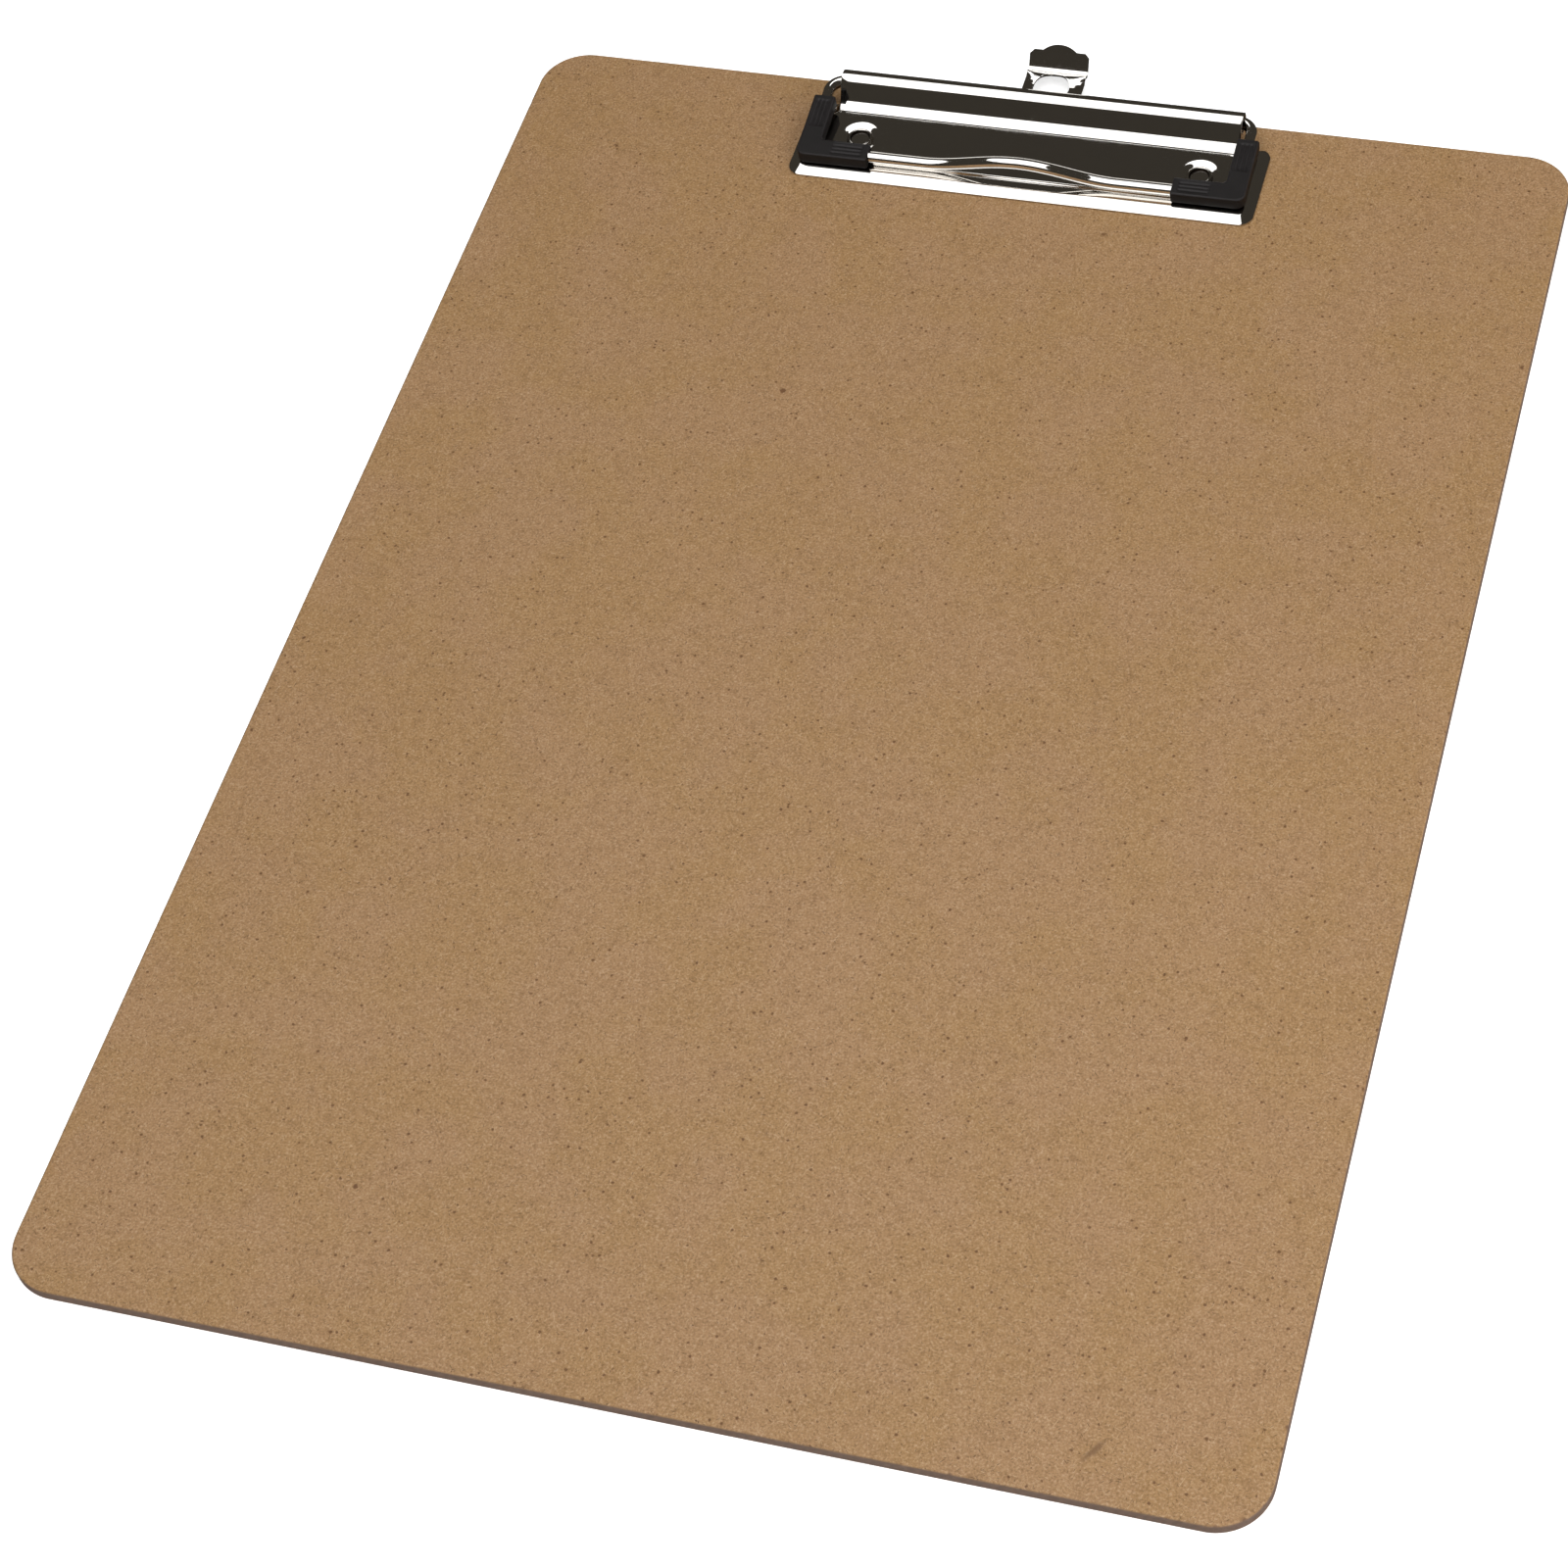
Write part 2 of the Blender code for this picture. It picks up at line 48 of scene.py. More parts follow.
# Board
BOARD_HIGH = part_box("board_panel")[1]
BOARD_HALF_WIDTH = BOARD_HIGH.x
BOARD_HALF_LENGTH = BOARD_HIGH.y
BOARD_THICKNESS = BOARD_HIGH.z
BOARD_CORNER_RADIUS = 10 * MM
BOARD_TOP_ROUND = 0.55 * MM
BOARD_BACK_ROUND = 0.25 * MM
BOARD_EDGE_PITCH = 1.2 * MM
BOARD_TOP_MARGIN = 1.2 * MM
WEAR_DEPTH = 0.05 * MM
# Chips in the board's top edge: place and size in millimetres.  A chip's depth, and the reach of
# the dark bruise around it, are shares of its size.
CHIPS = ((108.9, -155.2, 0.6), (111.5, -152.0, 0.45), (112.5, -137.5, 0.6), (104.6, -157.3, 0.45),
         (-112.5, 140.2, 0.5), (60.4, -157.5, 0.45))
CHIP_DEPTH = 0.45
BRUISE_REACH = 1.2
SCUFF_PLACE = (82.4 * MM, -148.4 * MM)
SCUFF_ANGLE = radians(54)
SCUFF_SIZE = (3.5 * MM, 0.85 * MM)

# Base plate, pressed from sheet
SHEET_EDGE_ROUND = 0.12 * MM
PLATE_LOW, PLATE_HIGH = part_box("clip_base_plate")
PLATE_HALF_WIDTH = PLATE_HIGH.x
PLATE_FRONT_Y = PLATE_LOW.y
PLATE_REAR_Y = 150.5 * MM
PLATE_SHEET = 0.42 * MM
PLATE_CORNER = 3.0 * MM
FLOOR_Z = 4.1 * MM
LEDGE_Z = 3.78 * MM
RIM_Z = 2.92 * MM
RIM_WIDTH = 2.3 * MM
RIM_POWER = 1.08
STEP_Y = 132.6 * MM
STEP_WIDTH = 1.0 * MM
BEND_Y = 146.7 * MM
BEND_RADIUS = 2.95 * MM
WALL_HALF_WIDTH = 43.7 * MM
EAR_INNER_X = 44.3 * MM
DIMPLE_DEPTH = 0.55 * MM
DIMPLE_FLAT = 2.35 * MM
DIMPLE_RADIUS = 4.7 * MM
GRID_PITCH_X = 1.5 * MM
GRID_PITCH_Y = 0.5 * MM
GRID_FINEST = 0.04 * MM

# Rolled edge
ROLL_Y = 152.9 * MM
ROLL_Z = 7.33 * MM
ROLL_RADIUS = 2.3 * MM
ROLL_TURN = radians(288)

# Bail wire
WIRE_RADIUS = 1.22 * MM
BAR_Y = 132.9 * MM
BAR_Z = 5.65 * MM
ARM_X = 46.0 * MM
FRONT_BEND = 2.8 * MM
REAR_BEND = 3.2 * MM
LIMB_END_X = 12.0 * MM
ARCH_HALF_WIDTH = 21 * MM
ARCH_RISE = 3.1 * MM
BAIL_YAW = radians(0.4)
BAIL_SHIFT = -0.2 * MM
BAIL_REACH = hypot(ROLL_Y - BAR_Y, ROLL_Z - BAR_Z)
BAIL_TILT = atan2(ROLL_Z - BAR_Z, ROLL_Y - BAR_Y)

# Rubber corners
COVER_HALF_LEG = 2.33 * MM
COVER_BAR_END_X = 32.7 * MM
COVER_ARM_END_Y = -5.7 * MM
COVER_BOTTOM = -1.4 * MM
COVER_TOP = 1.55 * MM
COVER_CORNER = 2.0 * MM
COVER_INNER_CORNER = 1.0 * MM
COVER_ROUND = 0.55 * MM
COVER_END_ROUND = 0.5 * MM
GROOVE_WIDTH = 0.3 * MM
GROOVE_DEPTH = 0.2 * MM
GROOVE_PITCH = 0.95 * MM
GROOVE_FADE = 0.3 * MM
GROOVE_HOLLOW = 0.07 * MM
ARM_GROOVES_Y = (-14.2 * MM, -7.0 * MM)
BAR_GROOVES_X = (34.2 * MM, 40.6 * MM)

# Tubular rivets
RIVET_X = 36.9 * MM
RIVET_Y = 139.7 * MM
SHANK_RADIUS = 2.1 * MM
SHANK_TOP_Z = 3.4 * MM
BORE_RADIUS = 1.75 * MM
BORE_FLOOR_Z = 2.0 * MM
BORE_DISH = 0.05 * MM
BORE_DISH_RADIUS = 0.9 * MM
BORE_ROUND = 0.35 * MM
BORE_ROUND_Z = 2.42 * MM
BORE_LOW_Z = 2.8 * MM
BORE_HIGH_Z = 3.3 * MM
HOLE_RADIUS = 2.4 * MM
HEAD_RADIUS = 3.6 * MM
HEAD_TOP_Z = 1.0 * MM
HEAD_BOTTOM_Z = 0.15 * MM
HEAD_TOP_ROUND = 0.2 * MM
HEAD_BOTTOM_ROUND = 0.35 * MM
HEAD_FLAT_RADIUS = 2.0 * MM
HEAD_POCKET_RADIUS = 4.0 * MM
HEAD_POCKET_DEPTH = 1.3 * MM
RING_RADIUS = 2.42 * MM
RING_ROUND = 0.34 * MM
RING_Z = 3.85 * MM

# Hanging tab
TAB_SHEET = 0.5 * MM
TAB_TOP_Z = 3.2 * MM
TAB_HALF_WIDTH = 6.5 * MM
TAB_HEAD_HALF_WIDTH = 10.0 * MM
TAB_INNER_Y = 143.1 * MM
TAB_SHOULDER_Y = 146.1 * MM
TAB_BEND_Y = 166.2 * MM
TAB_BEND_RADIUS = 1.1 * MM
TAB_BEND_ANGLE = radians(56)
TAB_LIP = 3.6 * MM
TAB_LIP_CORNER = 0.9 * MM
TAB_BUMP_HALF_WIDTH = 3.7 * MM
TAB_BUMP_RISE = 1.4 * MM
TAB_HOLE_CENTRE = (-0.35 * MM, 161.6 * MM)
TAB_HOLE_RADIUS = 3.95 * MM
TAB_GRID_X = 0.8 * MM
TAB_GRID_Y = 1.0 * MM
TAB_SWELL = 0.7 * MM
TAB_SWELL_Y = 162.0 * MM
TAB_SWELL_HALF_WIDTH = 4.8 * MM
TAB_SWELL_SLANT = 1.4
TAB_SWELL_DIP = 0.9
TAB_SWELL_DIP_X = -0.8 * MM
TAB_SWELL_DIP_WIDTH = 2.2 * MM

# Colours, in linear light
BOARD_BROWNS = ((0.305, 0.174, 0.071), (0.330, 0.192, 0.082))
BOARD_TINTS = ((0.325, 0.189, 0.078), (0.334, 0.196, 0.095))
MOTTLE_COLOUR = (0.190, 0.104, 0.045)
GRAIN_DARK = (0.115, 0.054, 0.018)
GRAIN_PALE = (0.520, 0.362, 0.228)
FIBRE_DARK = (0.080, 0.038, 0.016)
FIBRE_PALE = (0.520, 0.370, 0.220)
SPECK_COLOUR = (0.105, 0.040, 0.012)
BRUISE_COLOUR = (0.115, 0.052, 0.028)
SCUFF_COLOUR = (0.165, 0.088, 0.040)
# Browns of the bare cut edge, darkened with painted shade for the board's sides
CUT_EDGE_AND_SHADE_BROWNS = ((0.110, 0.068, 0.048), (0.215, 0.145, 0.108))
CHROME_COLOUR = (0.86, 0.84, 0.81)
NICKEL_COLOUR = (0.82, 0.79, 0.75)
# Painted shade: dark colour for the inside of the rivet's hollow bore
BORE_SHADE_COLOUR = (0.040, 0.028, 0.019)
RUBBER_BLACKS = ((0.0075, 0.0062, 0.0060), (0.0110, 0.0092, 0.0090))
# Painted highlight: paler rubber colour for the covers' rounded edges
RUBBER_EDGE_HIGHLIGHT = (0.030, 0.027, 0.028)

# Hardboard's grain: angles, length, width and threshold of its fibres, and three sizes of speck,
# each with its cells per metre, its radius as a share of a cell, its rarity and its seed
PALE_FIBRES = ((0.3, 1.1, 1.9, 2.7), 2.2 * MM, 0.16 * MM, 0.70)
DARK_FIBRES = ((0.0, 0.8, 1.6, 2.4), 1.3 * MM, 0.25 * MM, 0.69)
SPECKS = ((900, 0.26, 0.90, 1.0), (330, 0.100, 0.960, 4.0), (90, 0.055, 0.86, 7.0))
BOARD_RELIEF = 0.035 * MM
PLATING_RELIEF = 0.002 * MM
RUBBER_RELIEF = 0.02 * MM
# Width over which the painted shade in the rivet's bore fades out
BORE_SHADE_EDGE = 0.12 * MM

# Camera: its place and lens come from the board's outline in perspective
CAMERA_PLACE = (0.17913, -0.40814, 0.55588)
CAMERA_TARGET = (0.01254, -0.02408, 0.0025)
CAMERA_ROLL = radians(-10.219)
CAMERA_LENS = 85.67
CAMERA_SENSOR = 36
CAMERA_SHIFT_X = -0.0625
CAMERA_RANGE = (0.01, 50)

# Studio: a light's name, place, target, size and strength, whether metal mirrors it and whether the
# camera sees it
LIGHTS = (("softbox", (-0.31, -0.355, 1.2), (-0.31, -0.355, 0), (0.88, 2.43), 1.68, True, True),
          ("soft fill", (1.1, -0.5, 1.2), (0.9, -0.4, 0), (3.0, 4.0), 0.72, False, True),
          ("side fill", (0.6, -0.2, 0.5), (0.05, 0, 0), (0.7, 0.7), 2.6, False, False))
WORLD_COLOUR = (0.040, 0.035, 0.028)
FLOOR_COLOUR = (0.88, 0.88, 0.88)
FLOOR_GLOW = 0.55
FLOOR_SIZE = 8
FLOOR_DROP = 0.1 * MM
BACKDROP_GLOW = 0.9
BACKDROP_RADIUS = 3.9
BACKDROP_HEIGHT = 4
BACKDROP_MIDDLE_Z = 1.9


# ---------------------------------------------------------------- stage

def make_camera():
    """The camera at the photograph's viewing angle."""
    camera = bpy.data.objects.new("camera", bpy.data.cameras.new("camera"))
    bpy.context.scene.collection.objects.link(camera)
    direction = Vector(CAMERA_TARGET) - Vector(CAMERA_PLACE)
    turn = direction.to_track_quat("-Z", "Y").to_matrix() @ Matrix.Rotation(CAMERA_ROLL, 3, "Z")
    camera.matrix_world = Matrix.Translation(CAMERA_PLACE) @ turn.to_4x4()
    camera.data.lens = CAMERA_LENS
    camera.data.sensor_width = CAMERA_SENSOR
    camera.data.shift_x = CAMERA_SHIFT_X
    camera.data.clip_start, camera.data.clip_end = CAMERA_RANGE
    bpy.context.scene.camera = camera


def area_light(name, place, target, size, strength, mirrored, seen):
    """A rectangular softbox that faces a point; strength is its own brightness."""
    light = bpy.data.lights.new(name, "AREA")
    light.shape = "RECTANGLE"
    light.size, light.size_y = size
    light.energy = strength * pi * size[0] * size[1]
    lamp = bpy.data.objects.new(name, light)
    bpy.context.scene.collection.objects.link(lamp)
    direction = Vector(target) - Vector(place)
    lamp.rotation_euler = direction.to_track_quat("-Z", "Y").to_euler()
    lamp.location = place
    lamp.visible_glossy = mirrored
    lamp.visible_camera = seen


def make_stage():
    """A pale floor and backdrop that the metal doesn't mirror, soft lights and dim surroundings."""
    bpy.context.scene.view_settings.view_transform = "Standard"
    world = bpy.data.worlds.new("dim studio")
    bpy.context.scene.world = world
    world.use_nodes = True
    world.node_tree.nodes["Background"].inputs["Color"].default_value = (*WORLD_COLOUR, 1)

    paper = Graph("white floor")
    paper.finish(colour=FLOOR_COLOUR, roughness=0.9, specular=0.0)
    paper.glow(FLOOR_GLOW)
    bpy.ops.mesh.primitive_plane_add(size=FLOOR_SIZE, location=(0, 0, -FLOOR_DROP))
    floor = bpy.context.object
    floor.name = "floor"
    floor.data.materials.append(paper.material)
    floor.visible_glossy = False

    screen = Graph("pale backdrop")
    screen.finish(colour=(0, 0, 0), roughness=1.0, specular=0.0)
    screen.glow(BACKDROP_GLOW)
    bpy.ops.mesh.primitive_cylinder_add(vertices=64, radius=BACKDROP_RADIUS, depth=BACKDROP_HEIGHT,
                                        location=(0, 0, BACKDROP_MIDDLE_Z), end_fill_type="NOTHING")
    backdrop = bpy.context.object
    backdrop.name = "backdrop"
    backdrop.data.materials.append(screen.material)
    backdrop.visible_glossy = False
    backdrop.visible_diffuse = False
    backdrop.visible_shadow = False
    for settings in LIGHTS:
        area_light(*settings)


# ---------------------------------------------------------------- materials

class Graph:
    """A Principled material with short calls for the nodes that drive it."""

    def __init__(self, name):
        self.material = bpy.data.materials.new(name)
        self.material.use_nodes = True
        self.tree = self.material.node_tree
        self.shader = self.tree.nodes["Principled BSDF"]
        self.position = None

    def node(self, kind, inputs, **settings):
        """Add a node; a value is either a socket to link or a number or colour to set."""
        node = self.tree.nodes.new("ShaderNode" + kind)
        for key, value in settings.items():
            setattr(node, key, value)
        for key, value in inputs.items():
            self.give(node.inputs[key], value)
        return node

    def give(self, socket, value):
        """Link a socket to another, or set its value."""
        if isinstance(value, bpy.types.NodeSocket):
            self.tree.links.new(value, socket)
        else:
            socket.default_value = value

    def coordinates(self):
        """The place on the object, in metres."""
        if self.position is None:
            self.position = self.node("TexCoord", {}).outputs["Object"]
        return self.position

    def stretched(self, angle, stretch):
        """Coordinates turned about Z and squeezed along one direction, for fibres and brushing."""
        turned = self.node("Mapping", {"Vector": self.coordinates(), "Rotation": (0, 0, angle)})
        return self.node("Mapping", {"Vector": turned.outputs["Vector"],
                                     "Scale": (stretch, 1, 1)}).outputs["Vector"]

    def noise(self, scale, detail=2.0, roughness=0.5, vector=None, seed=0.0):
        """Noise between 0 and 1 with the given number of features per metre."""
        vector = vector or self.coordinates()
        if seed:
            vector = self.node("VectorMath", {0: vector, 1: (seed, seed * 0.7, seed * 1.3)}).outputs[0]
        made = self.node("TexNoise", {"Vector": vector, "Scale": scale, "Detail": detail,
                                      "Roughness": roughness})
        return made.outputs["Fac"]

    def cells(self, scale, seed):
        """Voronoi: the distance from the cell's centre, and the cell's own random number."""
        moved = self.node("VectorMath", {0: self.coordinates(), 1: (seed, seed, seed)}).outputs[0]
        made = self.node("TexVoronoi", {"Vector": moved, "Scale": scale})
        chance = self.node("SeparateColor", {"Color": made.outputs["Color"]}).outputs["Red"]
        return made.outputs["Distance"], chance

    def math(self, operation, first, second=0.0):
        """One Math node."""
        return self.node("Math", {0: first, 1: second}, operation=operation).outputs[0]

    def span(self, value, low, high, to_low=0.0, to_high=1.0):
        """Map a value's range to another, clamped."""
        made = self.node("MapRange", {"Value": value, "From Min": low, "From Max": high,
                                      "To Min": to_low, "To Max": to_high})
        return made.outputs["Result"]

    def mix(self, factor, first, second):
        """Blend two colours."""
        made = self.node("Mix", {"Factor": factor}, data_type="RGBA")
        for key, value in ((6, first), (7, second)):
            value = value if isinstance(value, bpy.types.NodeSocket) else (*value, 1.0)
            self.give(made.inputs[key], value)
        return made.outputs[2]

    def glow(self, strength):
        """Let the surface give off white light."""
        self.shader.inputs["Emission Color"].default_value = (1, 1, 1, 1)
        self.shader.inputs["Emission Strength"].default_value = strength

    def bump(self, height, distance, strength):
        """Bump from a height between 0 and 1, whose full size is the distance."""
        made = self.node("Bump", {"Height": height, "Distance": distance, "Strength": strength})
        self.give(self.shader.inputs["Normal"], made.outputs["Normal"])

    def finish(self, colour, roughness, metallic=0.0, specular=0.5):
        """Connect the main sockets."""
        if not isinstance(colour, bpy.types.NodeSocket):
            colour = (*colour, 1.0)
        self.give(self.shader.inputs["Base Color"], colour)
        self.give(self.shader.inputs["Roughness"], roughness)
        self.shader.inputs["Metallic"].default_value = metallic
        self.shader.inputs["Specular IOR Level"].default_value = specular


def fibres(graph, angles, length, width, share, seed):
    """Short fibres lying in a few directions: 1 on a fibre, 0 elsewhere."""
    total = None
    for i, angle in enumerate(angles):
        along = graph.stretched(angle, width / length)
        value = graph.noise(1 / width, 1.0, 0.5, along, seed + 3.1 * i)
        line = graph.span(value, share, share + 0.07)
        total = line if total is None else graph.math("MAXIMUM", total, line)
    return total


def patch(graph, place, angle, half_length, half_width, torn):
    """One ragged oval mark on the board's surface: 1 in its middle, 0 outside."""
    moved = graph.node("VectorMath", {0: graph.coordinates(), 1: (*place, 0)}, operation="SUBTRACT")
    turned = graph.node("Mapping", {"Vector": moved.outputs[0], "Rotation": (0, 0, -angle)})
    sized = graph.node("Mapping", {"Vector": turned.outputs["Vector"],
                                   "Scale": (1 / half_length, 1 / half_width, 0)})
    away = graph.node("VectorMath", {0: sized.outputs["Vector"]}, operation="LENGTH").outputs["Value"]
    ragged = graph.math("ADD", away, graph.math("MULTIPLY", torn, 1.2))
    return graph.span(ragged, 1.55, 0.95, 0.0, 0.8)


def specked(graph, colour):
    """The colour with dark specks of three sizes scattered over it."""
    for scale, radius, rarity, seed in SPECKS:
        distance, chance = graph.cells(scale, seed)
        wobble = graph.math("MULTIPLY", graph.noise(2600, 2, 0.6, seed=seed), 1.6 * radius)
        edge = graph.math("ADD", distance, wobble)
        spot = graph.math("MULTIPLY", graph.span(edge, 1.95 * radius, 1.55 * radius),
                          graph.span(chance, rarity, rarity + 0.02))
        colour = graph.mix(graph.math("MULTIPLY", spot, 0.80), colour, SPECK_COLOUR)
    return colour


def bruised(graph, colour):
    """The colour with a dark bruise around each chip in the edge, and one scuff."""
    torn = graph.noise(1500, 3, 0.7, seed=70.0)
    for x, y, size in CHIPS:
        reach = BRUISE_REACH * size * MM
        bruise = patch(graph, (x * MM, y * MM), 0.0, reach, reach, torn)
        colour = graph.mix(bruise, colour, BRUISE_COLOUR)
    scuff = patch(graph, SCUFF_PLACE, SCUFF_ANGLE, *SCUFF_SIZE, torn)
    return graph.mix(scuff, colour, SCUFF_COLOUR)


def hardboard_material():
    """Pressed fibreboard: brown mottle, pale and dark fibres, specks, bruises, and a bare cut edge
    darkened further with painted shade.
    """
    graph = Graph("pressed hardboard")
    broad = graph.noise(9, 3)
    cloud = graph.noise(45, 3, 0.6, seed=2.0)
    mottle = graph.noise(520, 5, 0.65, seed=5.0)
    grain = graph.noise(2300, 3, 0.6, seed=9.0)
    colour = graph.mix(graph.span(broad, 0.35, 0.65), *BOARD_BROWNS)
    tint = graph.mix(graph.span(cloud, 0.42, 0.58), *BOARD_TINTS)
    colour = graph.mix(0.75, colour, tint)
    colour = graph.mix(graph.span(mottle, 0.46, 0.74, 0.0, 0.42), colour, MOTTLE_COLOUR)
    colour = graph.mix(graph.span(grain, 0.52, 0.80, 0.0, 0.72), colour, GRAIN_DARK)
    colour = graph.mix(graph.span(grain, 0.48, 0.25, 0.0, 0.64), colour, GRAIN_PALE)
    pale = fibres(graph, *PALE_FIBRES, seed=20.0)
    dark = fibres(graph, *DARK_FIBRES, seed=40.0)
    colour = graph.mix(graph.math("MULTIPLY", pale, 0.60), colour, FIBRE_PALE)
    colour = graph.mix(graph.math("MULTIPLY", dark, 0.80), colour, FIBRE_DARK)
    colour = bruised(graph, specked(graph, colour))
    # The upright sides take the bare cut edge's brown, which also carries painted shade for faces turned
    # from the overhead light
    facing = graph.node("NewGeometry", {}).outputs["Normal"]
    upright = graph.node("SeparateXYZ", {"Vector": facing}).outputs["Z"]
    side = graph.span(graph.math("ABSOLUTE", upright), 0.85, 0.35)
    cut = graph.mix(graph.noise(900, 4, 0.7, seed=60.0), *CUT_EDGE_AND_SHADE_BROWNS)
    colour = graph.mix(side, colour, cut)
    graph.finish(colour, graph.span(mottle, 0.3, 0.7, 0.44, 0.56), specular=0.3)
    height = graph.math("ADD", graph.math("MULTIPLY", grain, 0.6), graph.math("MULTIPLY", mottle, 0.4))
    height = graph.math("ADD", height, graph.math("MULTIPLY", pale, 0.25))
    graph.bump(height, BOARD_RELIEF, 0.7)
    return graph.material


def plated_material(name, colour, roughness, shaded_bore_radius=None):
    """Bright plating: a faint cloud of handling marks, fine scratches and barely uneven metal.

    Inside the given radius, about the object's own axis, the metal is darkened with painted shade,
    standing for the shade down the rivet's hollow bore.
    """
    graph = Graph(name)
    smudge = graph.noise(160, 4, 0.6, seed=3.0)
    spots = graph.noise(900, 2, 0.5, seed=8.0)
    scratch = graph.noise(5200, 1, 0.5, graph.stretched(0.35, 0.03), 12.0)
    dull = graph.math("ADD", graph.span(smudge, 0.45, 0.75, 0.0, 0.05),
                      graph.span(spots, 0.66, 0.80, 0.0, 0.08))
    dull = graph.math("ADD", dull, graph.span(scratch, 0.72, 0.80, 0.0, 0.06))
    tone = graph.mix(graph.span(smudge, 0.4, 0.8), colour, tuple(0.94 * c for c in colour))
    dull = graph.math("ADD", dull, roughness)
    # Painted shade: inside this radius the metal is coloured dark for the shade in the rivet's bore, and
    # made rougher
    if shaded_bore_radius:
        flat = graph.node("VectorMath", {0: graph.coordinates(), 1: (1, 1, 0)}, operation="MULTIPLY")
        away = graph.node("VectorMath", {0: flat.outputs[0]}, operation="LENGTH").outputs["Value"]
        inside = graph.span(away, shaded_bore_radius + BORE_SHADE_EDGE, shaded_bore_radius)
        tone = graph.mix(inside, tone, BORE_SHADE_COLOUR)
        dull = graph.math("ADD", dull, graph.math("MULTIPLY", inside, 0.45))
    graph.finish(tone, dull, metallic=1.0)
    graph.bump(graph.noise(420, seed=15.0), PLATING_RELIEF, 0.5)
    return graph.material


def rubber_material():
    """Moulded black rubber with a fine satin grain, and a painted highlight on its rounded edges."""
    graph = Graph("moulded rubber")
    cloud = graph.noise(300, 3, 0.6)
    grain = graph.noise(6500, 2, 0.6, seed=4.0)
    facing = graph.node("TexCoord", {}).outputs["Normal"]
    upright = graph.node("SeparateXYZ", {"Vector": facing}).outputs["Z"]
    # Painted highlight: the rounded edges, whose faces tilt between up and sideways, are coloured paler
    edge = graph.math("MULTIPLY", graph.span(upright, 0.98, 0.85), graph.span(upright, 0.3, 0.6))
    colour = graph.mix(graph.span(cloud, 0.35, 0.65), *RUBBER_BLACKS)
    colour = graph.mix(graph.math("MULTIPLY", edge, 0.6), colour, RUBBER_EDGE_HIGHLIGHT)
    graph.finish(colour, graph.span(cloud, 0.3, 0.7, 0.50, 0.62), specular=0.32)
    graph.bump(grain, RUBBER_RELIEF, 0.6)
    return graph.material


# ---------------------------------------------------------------- mesh helpers

def add_object(name, bm, material):
    """Turn a bmesh into an object of the scene."""
    mesh = bpy.data.meshes.new(name)
    bm.to_mesh(mesh)
    bm.free()
    mesh.materials.append(material)
    obj = bpy.data.objects.new(name, mesh)
    bpy.context.scene.collection.objects.link(obj)
    return obj


def arc(centre, radius, start, end, steps):
    """Points along an arc in a plane, both ends included."""
    turns = [start + (end - start) * i / steps for i in range(steps + 1)]
    return [(centre[0] + radius * cos(t), centre[1] + radius * sin(t)) for t in turns]


def smooth(obj, angle=radians(35)):
    """Shade an object smooth except at its sharp edges."""
    obj.data.shade_smooth()
    obj.data.set_sharp_from_angle(angle=angle)


def bake_modifiers(obj):
    """Replace an object's mesh by what its modifiers make of it."""
    bpy.context.view_layer.update()
    evaluated = obj.evaluated_get(bpy.context.evaluated_depsgraph_get())
    mesh = bpy.data.meshes.new_from_object(evaluated)
    obj.modifiers.clear()
    obj.data = mesh


def loft(rings):
    """A closed bmesh with outward faces: a skin of quads from ring to ring and a face at each end."""
    bm = bmesh.new()
    made = [[bm.verts.new(point) for point in ring] for ring in rings]
    for first, second in zip(made, made[1:]):
        count = len(first)
        for i in range(count):
            j = (i + 1) % count
            bm.faces.new((first[i], first[j], second[j], second[i]))
    bm.faces.new(made[0])
    bm.faces.new(made[-1])
    bmesh.ops.recalc_face_normals(bm, faces=bm.faces)
    return bm


def tube(route, radius, sides=24):
    """A bmesh of a round wire along a route, with rounded-over ends."""
    rings = []
    side_before = None
    points = [Vector(p) for p in route]
    for i, point in enumerate(points):
        ahead = points[min(i + 1, len(points) - 1)]
        behind = points[max(i - 1, 0)]
        along = (ahead - behind).normalized()
        side = Vector((0, 0, 1)) if side_before is None else side_before
        side = (side - along * side.dot(along)).normalized()
        side_before = side
        other = along.cross(side)
        ring = [point + radius * (cos(t) * side + sin(t) * other)
                for t in (2 * pi * k / sides for k in range(sides))]
        rings.append((ring, point, along))
    skin = [ring for ring, _, _ in rings]
    for end in (0, -1):
        ring, point, along = rings[end]
        outward = -along if end == 0 else along
        for step in range(1, 5):
            turn = step * pi / 10
            moved = [point + (p - point) * cos(turn) + outward * radius * 0.35 * sin(turn) for p in ring]
            if end == 0:
                skin.insert(0, moved)
            else:
                skin.append(moved)
    return loft(skin)


def sheet_object(name, bm, material, thickness):
    """Turn a bent sheet's top face into an object with thickness and rounded edges."""
    bmesh.ops.recalc_face_normals(bm, faces=bm.faces)
    if sum(face.normal.z * face.calc_area() for face in bm.faces) < 0:
        bmesh.ops.reverse_faces(bm, faces=bm.faces)
    obj = add_object(name, bm, material)
    sheet = obj.modifiers.new("sheet thickness", "SOLIDIFY")
    sheet.thickness = thickness
    sheet.offset = -1
    sheet.use_even_offset = True
    edge = obj.modifiers.new("rounded sheet edge", "BEVEL")
    edge.width = SHEET_EDGE_ROUND
    edge.segments = 3
    edge.limit_method = "ANGLE"
    edge.angle_limit = radians(50)
    bake_modifiers(obj)
    smooth(obj)
    return obj


def keep_flat(obj):
    """Let an object's flat faces shade flat up to their rounded edges."""
    weighted = obj.modifiers.new("flat faces stay flat", "WEIGHTED_NORMAL")
    weighted.keep_sharp = True


def finish_piece(obj, body, slot, *nodes):
    """Attach a piece to the body it rides on and hide the CAD nodes it stands for. The slot, naming what
    the piece is made of, is not used.
    """
    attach(obj, body)
    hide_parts(*nodes)


# ---------------------------------------------------------------- board

